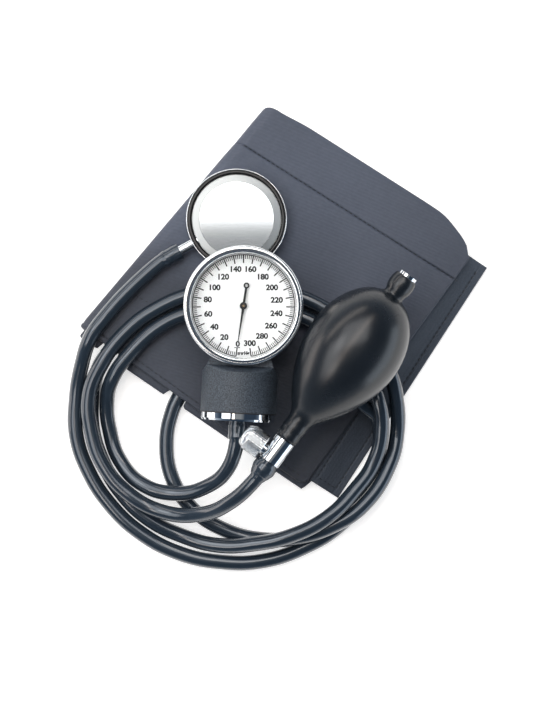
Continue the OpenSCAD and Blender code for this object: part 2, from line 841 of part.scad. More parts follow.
// A flat spiral from a collet on the pinion's arbor to a stud on the back plate
module hairspring() {
    turns = 4;
    steps = 14;
    strip = 0.12;
    start_r = 1.1;
    pitch = 0.9;
    spring_z = back_plate_z + plate_t + 0.8;
    end_r = start_r + turns * pitch;
    color("#8f9aa6")
        in_gauge() {
            translate([0, 0, spring_z])
                linear_extrude(0.5)
                    polygon(concat(
                        [for (i = [0:turns * steps]) let (a = i * 360 / steps, r = start_r + pitch * a / 360)
                            [r * cos(a), r * sin(a)]],
                        [for (i = [turns * steps:-1:0]) let (a = i * 360 / steps, r = start_r + pitch * a / 360)
                            [(r + strip) * cos(a), (r + strip) * sin(a)]]));
            translate([0, 0, spring_z])
                tube(start_r + strip, pinion_shaft_r + running_gap, 0.5, small_fn);
            translate([end_r - 0.3, -0.4, back_plate_z + plate_t])
                cube([0.8, 0.8, 1.5]);
        }
}

// Pressure capsule in the drum

module capsule_post() {
    color("#c7a85a")
        on_drum_axis(flange_y)
            rotate([180, 0, 0])
                difference() {
                    union() {
                        cylinder(r = 4, h = 2, $fn = mid_fn);
                        cylinder(r = 3, h = capsule_y - capsule_rise - flange_y, $fn = mid_fn);
                    }
                    translate([0, 0, -cut])
                        cylinder(r = 0.9, h = 20, $fn = small_fn);
                }
}

// A dished disc with a flat rim at z = 0 and a flat middle at z = -capsule_rise
module diaphragm(hole_r) {
    middle_r = 0.3 * capsule_r;
    wave_r = 0.6 * capsule_r;
    edge_r = 0.86 * capsule_r;
    rotate_extrude($fn = mid_fn)
        polygon([
            [hole_r, -capsule_rise], [middle_r, -capsule_rise], [wave_r, -0.6 * capsule_rise],
            [0.5 * (wave_r + edge_r), -0.9 * capsule_rise], [edge_r, -diaphragm_t], [capsule_r, -diaphragm_t],
            [capsule_r, 0], [edge_r, 0], [0.5 * (wave_r + edge_r), -0.9 * capsule_rise + diaphragm_t],
            [wave_r, -0.6 * capsule_rise + diaphragm_t], [middle_r, -capsule_rise + diaphragm_t],
            [hole_r, -capsule_rise + diaphragm_t]]);
}

module lower_diaphragm() {
    color("#b98b52")
        on_drum_axis(capsule_y)
            rotate([180, 0, 0])
                diaphragm(0.9);
}

module upper_diaphragm() {
    color("#b98b52")
        on_drum_axis(capsule_y)
            diaphragm(0);
}

module push_rod() {
    start_y = capsule_y + capsule_rise;
    color("#b9bcc0")
        on_drum_axis(start_y)
            rotate([180, 0, 0]) {
                cylinder(r = boss_r, h = boss_h, $fn = mid_fn);
                cylinder(r = rod_r, h = rod_top_y - start_y, $fn = small_fn);
            }
}

module drum_gasket() {
    color("#141518")
        on_drum_axis(drum_end_y)
            tube(drum_r - 0.1, drum_r - drum_wall, drum_gasket_t, big_fn);
}

module base_flange() {
    rim = 0.5;
    color("#c9ccd0")
        on_drum_axis(flange_y)
            difference() {
                rotate_extrude($fn = big_fn)
                    polygon([
                        [0, 0], [drum_r - rim, 0], [drum_r - rim, flange_t - 2 * rim],
                        [drum_r - 2 * rim, flange_t], [0, flange_t]]);
                translate([0, 0, -cut])
                    cylinder(r = 1.5, h = flange_t + 2 * cut, $fn = small_fn);
                translate([0, 0, flange_t / 2])
                    cylinder(r = barb_r + 0.4, h = flange_t, $fn = mid_fn);
            }
}

module gauge_nipple() {
    socket = flange_t / 2;
    color("#c9ccd0")
        on_drum_axis(flange_end_y)
            difference() {
                union() {
                    translate([0, 0, -socket])
                        cylinder(r = barb_r + 0.4, h = socket, $fn = mid_fn);
                    barbs(barb_r, barb_length);
                }
                translate([0, 0, -socket - cut])
                    cylinder(r = 1.5, h = socket + barb_length + 2 * cut, $fn = small_fn);
            }
}

// Bulb

// Radius of the bulb at a distance t from the tail ring, less a wall
function bulb_radius(t, wall) =
    t < bulb_mid
        ? (bulb_r - wall) * sqrt(max(0, 1 - pow((bulb_mid - t) / (bulb_tail_half - wall), 2)))
        : (bulb_r - wall) * (1 - pow((t - bulb_mid) / (front_reach - wall), 2));

function bulb_profile(t0, t1, wall, steps) =
    [for (i = [0:steps]) let (t = t0 + (t1 - t0) * (1 - cos(180 * i / steps)) / 2) [bulb_radius(t, wall), t]];

module bulb() {
    steps = 26;
    lip_end = 1.5;
    lip_taper = 1.5;
    air_bore_r = 2;
    inner_start = bulb_mid - bulb_tail_half + 2 * bulb_wall;
    inner_end = neck_start - 4;
    color("#1b1d21")
        on_bulb_axis()
            difference() {
                rotate_extrude($fn = big_fn)
                    polygon(concat(
                        [[0, 0], [tail_lip_r, 0], [tail_lip_r, lip_end], [tail_r, lip_end + lip_taper],
                            [tail_r, tail_length]],
                        bulb_profile(tail_length + 0.2, neck_start, 0, steps),
                        [[neck_r, neck_start], [neck_r, valve_start], [0, valve_start]]));
                rotate_extrude($fn = mid_fn)
                    polygon(concat(
                        [[0, inner_start]], bulb_profile(inner_start, inner_end, bulb_wall, steps),
                        [[0, inner_end]]));
                translate([0, 0, -cut])
                    cylinder(r = tail_bore_r, h = bulb_mid, $fn = mid_fn);
                translate([0, 0, valve_start - valve_barb_length])
                    cylinder(r = valve_barb_r, h = valve_barb_length + cut, $fn = mid_fn);
                translate([0, 0, bulb_mid])
                    cylinder(r = air_bore_r, h = valve_start - bulb_mid, $fn = mid_fn);
            }
}

// Chrome intake valve in the bulb's tail: flange, air hole, seat and chamber for the disc
module intake_body() {
    barrel = 10;
    chamber_end = intake_seat_t + seat_gap + check_disc_t + intake_travel + chamber_room;
    color("#c9ccd0")
        on_bulb_axis()
            difference() {
                union() {
                    translate([0, 0, -intake_flange_t])
                        cylinder(r = intake_flange_r, h = intake_flange_t, $fn = mid_fn);
                    cylinder(r = tail_bore_r, h = barrel, $fn = mid_fn);
                }
                translate([0, 0, -intake_flange_t - cut])
                    cylinder(r = screen_r, h = cut + screen_t, $fn = mid_fn);
                translate([0, 0, -intake_flange_t])
                    cylinder(r = intake_bore_r, h = intake_flange_t + barrel + cut, $fn = small_fn);
                translate([0, 0, intake_seat_t])
                    cylinder(r = check_bore_r, h = chamber_end - intake_seat_t, $fn = mid_fn);
                translate([-slot_length / 2, -slot_w / 2, chamber_end - cut])
                    cube([slot_length, slot_w, barrel]);
            }
}

// A rubber disc that lifts off its seat
module check_disc(place) {
    color("#2a2a2c")
        on_bulb_axis(place)
            cylinder(r = check_disc_r, h = check_disc_t, $fn = mid_fn);
}

module intake_disc() {
    check_disc(intake_seat_t + seat_gap);
}

module intake_screen() {
    hole_r = 0.3;
    color("#b9bcc0")
        on_bulb_axis(-intake_flange_t)
            difference() {
                cylinder(r = screen_r - fit_gap, h = screen_t, $fn = mid_fn);
                for (ring = [0:1], i = [0:6 * ring])
                    rotate(i * 360 / (6 * max(ring, 1)))
                        translate([1.1 * ring, 0, -cut])
                            cylinder(r = hole_r, h = 3 * cut, $fn = 16);
            }
}

// Release valve

module valve_body() {
    chamfer = 0.5;
    needle_port_r = 0.7;
    // The hole at the needle through which the released air leaves
    vent_place = 3.6;
    vent_r = 0.6;
    back = valve_start - valve_barb_length;
    bore_length = valve_barb_length + valve_length + barb_length + 2 * cut;
    chamber = seat_ring_t + seat_gap + check_disc_t + outlet_travel + chamber_room;
    color("#c9ccd0")
        difference() {
            union() {
                on_bulb_axis(back)
                    cylinder(r = valve_barb_r - fit_gap, h = valve_barb_length, $fn = mid_fn);
                on_bulb_axis(valve_start)
                    rotate_extrude($fn = mid_fn)
                        polygon([
                            [0, 0], [valve_r - chamfer, 0], [valve_r, chamfer],
                            [valve_r, valve_length - chamfer], [valve_r - chamfer, valve_length],
                            [0, valve_length]]);
                on_bulb_axis(valve_end)
                    barbs(barb_r, barb_length);
                on_knob_axis()
                    cylinder(r = knob_boss_r, h = knob_boss_end, $fn = mid_fn);
            }
            on_bulb_axis(back - cut)
                cylinder(r = valve_bore_r, h = bore_length, $fn = small_fn);
            on_bulb_axis(back - cut)
                cylinder(r = check_bore_r, h = chamber + cut, $fn = mid_fn);
            on_bulb_axis(back + chamber - cut)
                translate([-slot_length / 2, -slot_w / 2, 0])
                    cube([slot_length, slot_w, cut + slot_depth]);
            on_knob_axis()
                cylinder(r = needle_port_r, h = needle_seat + cut, $fn = small_fn);
            on_knob_axis(needle_seat)
                cylinder(r = needle_r + running_gap, h = knob_boss_end, $fn = small_fn);
            on_knob_axis(ring_groove_start)
                cylinder(r = needle_r + 2 * ring_wire_r + 0.04, h = 2 * ring_wire_r + 0.04, $fn = mid_fn);
            on_knob_axis(vent_place)
                rotate([0, 90, 0])
                    cylinder(r = vent_r, h = valve_r + 2, $fn = small_fn);
        }
}

module outlet_seat() {
    color("#c7a85a")
        on_bulb_axis(valve_start - valve_barb_length)
            tube(check_bore_r, seat_bore_r, seat_ring_t);
}

module outlet_disc() {
    check_disc(valve_start - valve_barb_length + seat_ring_t + seat_gap);
}

module release_needle() {
    color("#b9bcc0")
        on_knob_axis()
            rotate_extrude($fn = small_fn)
                polygon([
                    [0, needle_tip], [0.5, needle_tip], [needle_r, needle_tip + 1.5],
                    [needle_r, needle_end], [0, needle_end]]);
}

module release_knob() {
    skirt_end = knob_start + knob_skirt;
    groove_r = PI * knob_r / knob_grooves / 2;
    rim_step = 0.6;
    skirt_gap = 0.15;
    color("#c9ccd0")
        on_knob_axis()
            difference() {
                rotate_extrude($fn = mid_fn)
                    polygon([
                        [0, knob_start], [knob_r - rim_step, knob_start], [knob_r, knob_start + rim_step],
                        [knob_r, knob_end - knob_chamfer], [knob_r - knob_chamfer, knob_end], [0, knob_end]]);
                translate([0, 0, knob_start - cut])
                    cylinder(r = knob_boss_r + skirt_gap, h = knob_skirt + cut, $fn = mid_fn);
                translate([0, 0, skirt_end - cut])
                    cylinder(r = needle_r + running_gap, h = needle_end + 0.1 - skirt_end + cut, $fn = small_fn);
                for (i = [0:knob_grooves - 1])
                    rotate(i * 360 / knob_grooves)
                        translate([knob_r + 0.2, 0, knob_start + rim_step + 1])
                            cylinder(r = groove_r, h = knob_length, $fn = 16);
            }
}

module needle_o_ring() {
    color("#141518")
        on_knob_axis(ring_groove_start + ring_wire_r + 0.02)
            rotate_extrude($fn = mid_fn)
                translate([needle_r + ring_wire_r + 0.02, 0])
                    circle(r = ring_wire_r, $fn = small_fn);
}

// Chest piece

module chest_body() {
    ring_in = chest_r - chest_lip_w - chest_ring_w;
    body_z = diaphragm_seat + chest_diaphragm_t;
    wide_h = chest_h - chest_ring_t;
    bell_r = 0.8 * chest_r;
    bell_h = 0.9;
    color("#c9ccd0")
        difference() {
            in_chest()
                rotate_extrude($fn = big_fn)
                    polygon([
                        [0, body_z + bell_h], [4, body_z + bell_h], [bell_r, body_z + bell_h / 3],
                        [bell_r, body_z], [chest_r - chest_lip_w - fit_gap, body_z],
                        [chest_r - chest_lip_w - fit_gap, wide_h], [ring_in, wide_h],
                        [ring_in, chest_bevel_h], [chest_disc_r, chest_h], [chest_disc_r, chest_h - chest_disc_t],
                        [0, chest_h - chest_disc_t]]);
            on_stem_axis(chest_r * 0.6)
                cylinder(r = stem_r, h = chest_r, $fn = mid_fn);
            on_stem_axis(-2)
                cylinder(r = 1.2, h = chest_r, $fn = small_fn);
            in_chest()
                cylinder(r = 1, h = chest_stem_z - chest_z, $fn = small_fn);
        }
}

module chest_diaphragm() {
    color("#e6e6e0")
        in_chest()
            translate([0, 0, diaphragm_seat])
                cylinder(r = chest_r - chest_lip_w - 2 * fit_gap, h = chest_diaphragm_t, $fn = big_fn);
}

// The chrome lip round the chest piece, turned in below the diaphragm's edge
module chest_rim() {
    color("#d4d6d9")
        difference() {
            in_chest()
                rotate_extrude($fn = big_fn)
                    polygon([
                        [chest_r - chest_lip_w - 2, 0], [chest_r - 0.4, 0], [chest_r, 0.4],
                        [chest_r, chest_lip_h - 0.3], [chest_r - 0.3, chest_lip_h],
                        [chest_r - chest_lip_w, chest_lip_h], [chest_r - chest_lip_w, diaphragm_seat],
                        [chest_r - chest_lip_w - 2, diaphragm_seat]]);
            on_stem_axis(chest_r * 0.6)
                cylinder(r = stem_r + fit_gap, h = chest_r, $fn = mid_fn);
        }
}

module chest_ring() {
    color("#15161a")
        difference() {
            in_chest()
                translate([0, 0, chest_h - chest_ring_t])
                    tube(chest_r - chest_lip_w, chest_r - chest_lip_w - chest_ring_w,
                        chest_ring_h - chest_h + chest_ring_t, big_fn);
            on_stem_axis(chest_r * 0.6)
                cylinder(r = stem_r + fit_gap, h = chest_r, $fn = mid_fn);
        }
}

module chest_disc() {
    color("#d9dadc")
        in_chest()
            translate([0, 0, chest_h - chest_disc_t])
                cylinder(r = chest_disc_r - fit_gap, h = chest_disc_t, $fn = big_fn);
}

module chest_stem() {
    start = chest_r * 0.6 + 0.1;
    color("#c9ccd0")
        difference() {
            union() {
                on_stem_axis(start)
                    cylinder(r = stem_r, h = stem_end - start, $fn = mid_fn);
                on_stem_axis(stem_end)
                    barbs(stem_barb_r, barb_length);
            }
            on_stem_axis(start - cut)
                cylinder(r = 1.2, h = stem_end + barb_length, $fn = small_fn);
        }
}

// The connector below the bulb in which the chest piece's hose ends
module hose_connector() {
    color("#1d1e21")
        translate(connector_at)
            rotate(connector_turn)
                difference() {
                    union() {
                        translate([-barb_length, 0, 0])
                            rotate([0, 90, 0])
                                barbs(barb_r, barb_length);
                        rotate([0, 90, 0])
                            cylinder(r = connector_r, h = connector_stem, $fn = mid_fn);
                        for (side = [-1, 1])
                            translate([connector_stem - 2, 0, 0])
                                rotate([0, 90, side * connector_spread])
                                    cylinder(r = barb_r, h = connector_leg + 2, $fn = mid_fn);
                    }
                    translate([-barb_length - cut, 0, 0])
                        rotate([0, 90, 0])
                            cylinder(r = barb_r / 2, h = barb_length + connector_stem, $fn = small_fn);
                    for (side = [-1, 1])
                        translate([connector_stem - 2, 0, 0])
                            rotate([0, 90, side * connector_spread])
                                cylinder(r = barb_r / 2, h = connector_leg + 2 + cut, $fn = small_fn);
                }
}

// Hoses

// Direction of a route at point i: along the ends' own stretches, and between neighbours elsewhere
function route_way(p, i) =
    let (last = len(p) - 1,
        v = i == 0 ? p[1] - p[0]
            : i == last ? p[last] - p[last - 1]
            : (p[i] - p[i - 1]) / norm(p[i] - p[i - 1]) + (p[i + 1] - p[i]) / norm(p[i + 1] - p[i]))
    v / norm(v);

// Points of the ring round point i, upright in the plane square to the route
function route_ring(p, i, r) =
    let (way = route_way(p, i),
        side = cross(way, [0, 0, 1]) / norm(cross(way, [0, 0, 1])),
        up = cross(side, way))
    [for (k = [0:hose_sides - 1]) let (a = (k + 0.5) * 360 / hose_sides)
        p[i] + r * cos(a) * side + r * sin(a) * up];

// One tube along a route, a little wider at its first ring where a fitting stretches it
module hose(p, start_r) {
    n = hose_sides;
    last = len(p) - 1;
    polyhedron(
        points = [for (i = [0:last]) each route_ring(p, i, i == 0 ? start_r : hose_d / 2)],
        faces = concat(
            [[for (k = [0:n - 1]) k]],
            [for (i = [0:last - 1], k = [0:n - 1]) let (a = i * n + k, b = i * n + (k + 1) % n)
                each [[a, a + n, b + n], [a, b + n, b]]],
            [[for (k = [n - 1:-1:0]) last * n + k]]));
}

module gauge_hose() {
    color("#1c1e22")
        hose(gauge_route, gauge_cuff_r);
}

module valve_hose() {
    color("#1c1e22")
        hose(valve_route, valve_cuff_r);
}

module chestpiece_hose() {
    color("#1c1e22")
        hose(chestpiece_route, stem_cuff_r);
}

cuff_sleeve();
hook_strip();
air_bladder();
valve_port();
gauge_port();
gauge_housing();
bezel();
crystal();
crystal_gasket();
dial();
pointer();
pinion_arbor();
back_plate();
front_plate();
pillar(0);  // pillar_1
pillar(1);  // pillar_2
pillar(2);  // pillar_3
plate_screw(0);  // plate_screw_1
plate_screw(1);  // plate_screw_2
plate_screw(2);  // plate_screw_3
sector_gear();
hairspring();
capsule_post();
lower_diaphragm();
upper_diaphragm();
push_rod();
drum_gasket();
base_flange();
gauge_nipple();
bulb();
intake_body();
intake_disc();
intake_screen();
valve_body();
outlet_seat();
outlet_disc();
release_needle();
release_knob();
needle_o_ring();
chest_body();
chest_diaphragm();
chest_rim();
chest_ring();
chest_disc();
chest_stem();
hose_connector();
gauge_hose();
valve_hose();
chestpiece_hose();
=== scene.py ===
import json
import math

import bpy
import numpy as np
from mathutils import Matrix, Vector, noise


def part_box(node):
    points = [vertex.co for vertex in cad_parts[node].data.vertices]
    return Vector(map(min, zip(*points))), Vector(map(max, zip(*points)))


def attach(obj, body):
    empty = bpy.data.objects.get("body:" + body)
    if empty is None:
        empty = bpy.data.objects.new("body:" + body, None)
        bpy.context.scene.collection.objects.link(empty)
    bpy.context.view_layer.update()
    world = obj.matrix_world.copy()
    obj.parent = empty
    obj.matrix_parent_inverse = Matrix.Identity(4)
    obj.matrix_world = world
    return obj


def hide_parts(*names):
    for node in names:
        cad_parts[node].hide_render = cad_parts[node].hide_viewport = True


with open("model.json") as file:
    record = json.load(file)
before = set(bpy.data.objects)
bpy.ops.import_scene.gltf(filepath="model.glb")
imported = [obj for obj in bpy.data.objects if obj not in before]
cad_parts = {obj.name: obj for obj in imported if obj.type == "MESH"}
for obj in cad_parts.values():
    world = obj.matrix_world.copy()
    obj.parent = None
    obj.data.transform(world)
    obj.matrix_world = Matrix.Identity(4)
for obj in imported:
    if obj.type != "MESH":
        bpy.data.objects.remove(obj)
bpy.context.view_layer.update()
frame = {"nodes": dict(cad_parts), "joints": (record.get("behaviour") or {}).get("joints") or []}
scene = bpy.context.scene
scene.view_settings.view_transform = "Standard"
MM = 0.001

# One pixel of the 540 by 720 picture is half a millimetre at the table.
PICTURE_HEIGHT_PX = 720
TABLE_M_PER_PX = 0.5 * MM
EYE_HEIGHT = 1.8
VIEW_CENTRE = (-6.35 * MM, -28.75 * MM)
camera_data = bpy.data.cameras.new("camera")
camera_data.lens = camera_data.sensor_width * EYE_HEIGHT / (PICTURE_HEIGHT_PX * TABLE_M_PER_PX)
camera_data.clip_end = 10
camera = bpy.data.objects.new("camera", camera_data)
camera.location = (*VIEW_CENTRE, EYE_HEIGHT)
scene.collection.objects.link(camera)
scene.camera = camera


# Hoses: three lengths of black natural rubber hose, extruded with a smooth skin. Each is pushed
# on its fittings, which stretches its end, and lies on the table, the cuff and the other hoses.
HOSE_D = 7.6

# The routes, from the fitting where each hose starts to the one where it ends
GAUGE_ROUTE = [
    (-22.2, -58.6, 30.6), (-22.7, -68.6, 30.4), (-27, -82, 26), (-37, -91, 18.5), (-53, -95, 12.5),
    (-69, -91, 9.5), (-81, -79, 5), (-86.5, -63, 3.9), (-87.5, -50, 6.8), (-84.5, -38, 13.2),
    (-76.5, -26.5, 15.8), (-60, -11.5, 15.6), (-40, -4, 15.6), (-19, -2, 15.6), (2, -5, 15.6),
    (21, -13.5, 15.6), (36, -26.5, 15.7), (42.5, -37.5, 16.6), (47, -48, 19), (49, -63, 16.6),
    (45, -80, 13.2), (36, -93, 15), (23, -106, 17.4), (5, -115.5, 16.8), (-14, -120, 12.3),
    (-32, -121, 7.6), (-50, -116.5, 3.9), (-67, -108, 3.9), (-80.5, -95, 3.9), (-89.5, -80, 3.9),
    (-95, -62, 3.9), (-94.5, -45, 3.9), (-91.6, -32, 4.2), (-87.4, -25.2, 4.3)]
VALVE_ROUTE = [
    (-7, -78.6, 40.7), (-13, -86.6, 40.2), (-25, -98, 33), (-41, -105, 21), (-60, -104, 13),
    (-77, -95, 11.8), (-89, -81, 11.7), (-95, -64, 11.8), (-96, -46, 12.8), (-90, -31, 15.5),
    (-79, -16, 15.6), (-62, -3, 15.6), (-41, 5, 15.6), (-19, 7.5, 15.6), (4, 4, 15.6),
    (24, -5, 15.6), (41, -17, 15.8), (51.8, -32, 15.4), (56.6, -49, 11), (57, -65, 6.5),
    (53.5, -80, 9), (40, -101, 11.8), (25, -111, 11.7), (7, -117, 9.2), (-12, -118, 4.6),
    (-30, -113, 3.9), (-45, -103, 3.9), (-55, -88, 3.9), (-58, -70, 3.9), (-55, -54, 4.1),
    (-50.8, -45, 4.3)]
CHESTPIECE_ROUTE = [
    (-50.9, 25.4, 15.9), (-59.6, 20.6, 15.8), (-74, 8, 15.6), (-87, -6, 15.6), (-95, -17, 15.6),
    (-100, -31, 9.5), (-103, -48, 4.4), (-103, -66, 3.9), (-97, -84, 3.9), (-86, -101, 3.9),
    (-71, -115, 3.9), (-52, -125, 3.9), (-31, -129.5, 3.9), (-10, -129, 3.9), (10, -122.5, 3.9),
    (28, -111.5, 3.9), (42, -95, 3.9), (48, -74, 4.9), (47, -58, 10.2), (39.5, -50.5, 15.2),
    (32.5, -42, 15.6), (23.5, -38.5, 15.6)]

# Radii of a stretched end, as (distance from the fitting, radius) in millimetres
GAUGE_CUFF = [(0, 4.2), (2.5, 4.6), (6, 4.3), (8, 4.5)]
VALVE_CUFF = [(0, 5.1), (2, 6), (4.5, 6.2), (7.5, 5.1)]
STEM_CUFF = [(0, 4.2), (3, 4.4), (6, 4.1), (8, 4.4)]


def linear(code):
    """An sRGB hex colour as the linear colour that a shader takes."""
    channels = [int(code[i:i + 2], 16) / 255 for i in (1, 3, 5)]
    return tuple(c / 12.92 if c < 0.04045 else ((c + 0.055) / 1.055) ** 2.4 for c in channels) + (1,)


def add(tree, kind, sockets=None, **settings):
    """Adds a node with its settings. A socket takes a value, or another node's output as a link."""
    made = tree.nodes.new("ShaderNode" + kind)
    for name, value in settings.items():
        setattr(made, name, value)
    for name, value in (sockets or {}).items():
        if isinstance(value, bpy.types.NodeSocket):
            tree.links.new(value, made.inputs[name])
        else:
            made.inputs[name].default_value = value
    return made


def new_material(name, **sockets):
    """A new material, its node tree and its shader, with some of the shader's sockets set."""
    material = bpy.data.materials.new(name)
    material.use_nodes = True
    shader = material.node_tree.nodes["Principled BSDF"]
    for socket, value in sockets.items():
        shader.inputs[socket.replace("_", " ")].default_value = value
    return material, material.node_tree, shader


def patches(tree, size_mm, detail=2, roughness=0.5):
    """Soft patches of the given size that stay on the piece, from 0 to 1."""
    place = add(tree, "TexCoord").outputs["Object"]
    scaled = add(tree, "VectorMath", {0: place, "Scale": 1 / (size_mm * MM)}, operation="SCALE")
    return add(tree, "TexNoise", {"Vector": scaled.outputs["Vector"], "Scale": 1, "Detail": detail,
                                  "Roughness": roughness}).outputs["Fac"]


def finish(tree, shader, pattern, dark=None, light=None, depth_mm=0, strength=1.0):
    """Gives a surface two sRGB tones by a pattern of 0 to 1, and raises the pattern by a depth."""
    if dark:
        tone = add(tree, "Mix", {"Factor": pattern, "A": linear(dark), "B": linear(light)}, data_type="RGBA")
        tree.links.new(tone.outputs["Result"], shader.inputs["Base Color"])
    if depth_mm:
        raised = add(tree, "Bump", {"Height": pattern, "Distance": depth_mm * MM, "Strength": strength})
        tree.links.new(raised.outputs["Normal"], shader.inputs["Normal"])


# Extruded rubber comes smooth from the die: near black under a thin gloss that draws long soft
# lights along the hose, with a bloom that greys it in patches
hose_rubber, tree, shader = new_material("extruded_black_rubber", Roughness=0.22, IOR=1.52,
                                         Specular_Tint=linear("#cfdcec"), Coat_Weight=1.0,
                                         Coat_Roughness=0.13)
bloom = patches(tree, 14, 5, 0.6)
finish(tree, shader, bloom, "#212b35", "#2b3642")
matt = add(tree, "MapRange", {"Value": bloom, "From Min": 0.3, "From Max": 0.7,
                              "To Min": 0.2, "To Max": 0.23})
tree.links.new(matt.outputs["Result"], shader.inputs["Roughness"])
finish(tree, shader, patches(tree, 1.1, 3), depth_mm=0.001)


def hose(name, route, cuff):
    """A hose along its route, stretched at its first end."""
    start, after = Vector(route[0]), Vector(route[1])
    way = (after - start).normalized()
    points = [(start + way * along, radius) for along, radius in cuff]
    points += [(Vector(p), HOSE_D / 2) for p in route[1:]]
    curve = bpy.data.curves.new(name, "CURVE")
    curve.dimensions = "3D"
    curve.resolution_u = 14
    curve.bevel_depth = HOSE_D / 2 * MM
    curve.bevel_resolution = 7
    curve.use_fill_caps = True
    spline = curve.splines.new("BEZIER")
    spline.bezier_points.add(len(points) - 1)
    for knot, (place, radius) in zip(spline.bezier_points, points):
        knot.co = place * MM
        knot.radius = radius / (HOSE_D / 2)
        knot.handle_left_type = knot.handle_right_type = "AUTO"
    spline.use_smooth = True
    curve.materials.append(hose_rubber)
    piece = bpy.data.objects.new(name, curve)
    scene.collection.objects.link(piece)
    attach(piece, "kit")
    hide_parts(name)
    piece.name = name + "_rubber"
    return piece


gauge_hose = hose("gauge_hose", GAUGE_ROUTE, GAUGE_CUFF)
valve_hose = hose("valve_hose", VALVE_ROUTE, VALVE_CUFF)
chestpiece_hose = hose("chestpiece_hose", CHESTPIECE_ROUTE, STEM_CUFF)


# Arm cuff: one long sleeve of woven nylon, folded into four leaves. Its two faces are sewn
# together along the edges and along a lapped seam, and its end droops as a fastening flap.
CUFF_X, CUFF_Y, CUFF_TURN = -101.2, -11.9, -40.2
FLAP_X, FLAP_Y, FLAP_TURN = 153.8, 17.6, 7.3
LEAF_T = 2.6
LEAF_STEP = 3.0
OUTER_FOLD_R = (3 * LEAF_STEP + LEAF_T) / 2
INNER_FOLD_R = (LEAF_STEP + LEAF_T) / 2
FLAP_W, FLAP_LENGTH = 17.5, 137
FLAP_EDGE_Z = 2.9
TAPE_T = 1.2
FOLD_TO_FLAP = 3.7
RIGHT_FOLD_X = -FLAP_W - FOLD_TO_FLAP - INNER_FOLD_R
# Where the lower leaves begin and end across the band, some of them in the flap's frame
FOLD_BACK, INNER_FRONT, INNER_BACK = 139, -4, 142
FLAP_FOLD_FRONT, FLAP_FOLD_BACK = -6, FLAP_LENGTH - 3
FOLD_RISE = 6.4
FREE_END_X, FREE_CORNER = 136.6, 3.6
BOTTOM_SLOPE = math.tan(math.radians(4.8))
# The top edge of the top leaf, from the fold to the free end's tip
TOP_EDGE = [(5.8, 145.4), (12, 146.6), (22, 148.9), (93, 158.5), (103, 159.6), (113.5, 157.6),
            (120.8, 155.6), (125.2, 152.8), (126.6, 148.5)]
TOP_SLOPE = math.tan(math.radians(7.7))
# Openings in the lower leaves for the hose ports: middle, depth and half width
NOTCHES = [(19.1, 6.8, 4.4), (59.9, 15.3, 4.4)]
# The lapped seam runs this far below the top edge and straight along it
SEAM_FROM_EDGE = 25
HEM_MM = 3
EDGE_MM = LEAF_T / 2
CUFF_W = 146
TOP_LEAF_LENGTH = 131

cuff_place = Matrix.Translation(Vector((CUFF_X, CUFF_Y, 0)) * MM) \
    @ Matrix.Rotation(math.radians(CUFF_TURN), 4, "Z")


def from_flap(x, y):
    """A point of the flap's frame, seen from the cuff's corner."""
    a = math.radians(FLAP_TURN)
    return FLAP_X + x * math.cos(a) - y * math.sin(a), FLAP_Y + x * math.sin(a) + y * math.cos(a)


def front_edge(x):
    """The top leaf's front edge, with its rounded corner at the free end."""
    corner = max(0, x - (FREE_END_X - FREE_CORNER))
    return x * BOTTOM_SLOPE + corner * corner / FREE_CORNER


def back_edge(x):
    """The top leaf's back edge, with its corners eased."""
    near = np.linspace(-4, 4, 9)
    return float(np.mean(np.interp(x + near, *zip(*TOP_EDGE))))


def seam_line(x):
    """Where the seam crosses the top leaf at a place along the band."""
    start_x, start_y = TOP_EDGE[2]
    return start_y + (x - start_x) * TOP_SLOPE - SEAM_FROM_EDGE


def notched(x, y):
    """The front edge of a lower leaf, drawn in where a hose port needs room."""
    for middle, depth, half in NOTCHES:
        inside = 1 / (1 + math.exp((abs(x - middle) - half) / 0.3))
        y += max(0, depth - y) * inside
    return y


def steps(start, end, step):
    """Even steps of about the given size, both ends with them."""
    return np.linspace(start, end, max(2, round(abs(end - start) / step) + 1))


# Each station of the band is its front point, its back point and half its thickness
stations = []
near_end = [0, 0.12, 0.4, 0.8, 1.3, 2.2]
top_xs = [FREE_END_X - d for d in near_end] + list(steps(FREE_END_X - 4, OUTER_FOLD_R, 1.8))
back_stretch = (TOP_EDGE[-1][0] - OUTER_FOLD_R) / (FREE_END_X - OUTER_FOLD_R)
for x in top_xs:
    back_x = OUTER_FOLD_R + (x - OUTER_FOLD_R) * back_stretch
    z = 3 * LEAF_STEP + LEAF_T / 2
    stations.append(((x, front_edge(x), z), (back_x, back_edge(back_x), z), LEAF_T / 2))


def bend(start, end, step, fold_x, fold_z, fold_r):
    """Angle and place of each station round a fold, between two angles in degrees."""
    for a in steps(start, end, step)[1:-1]:
        turn = math.radians(a)
        way = fold_r - LEAF_T / 2
        yield turn, fold_x + way * math.cos(turn), fold_z + way * math.sin(turn)


for turn, x, z in bend(90, 270, 11, OUTER_FOLD_R, OUTER_FOLD_R, OUTER_FOLD_R):
    back = FOLD_BACK + FOLD_RISE * math.cos(turn / 2 - math.pi / 4) ** 2
    stations.append(((x, 0.3 * math.sin(turn), z), (x, back, z), LEAF_T / 2))
bottom_front = from_flap(RIGHT_FOLD_X, FLAP_FOLD_FRONT)
bottom_back = from_flap(RIGHT_FOLD_X, FLAP_FOLD_BACK)


def leaf(front_from, front_to, back_from, back_to, z, step):
    """A flat leaf between two folds, with the notches for the hose ports."""
    length = abs(front_to[0] - front_from[0])
    for q in steps(0, 1, step / length):
        fx, fy = (f + (t - f) * q for f, t in zip(front_from, front_to))
        bx, by = (f + (t - f) * q for f, t in zip(back_from, back_to))
        stations.append(((fx, notched(fx, fy), z), (bx, by, z), LEAF_T / 2))


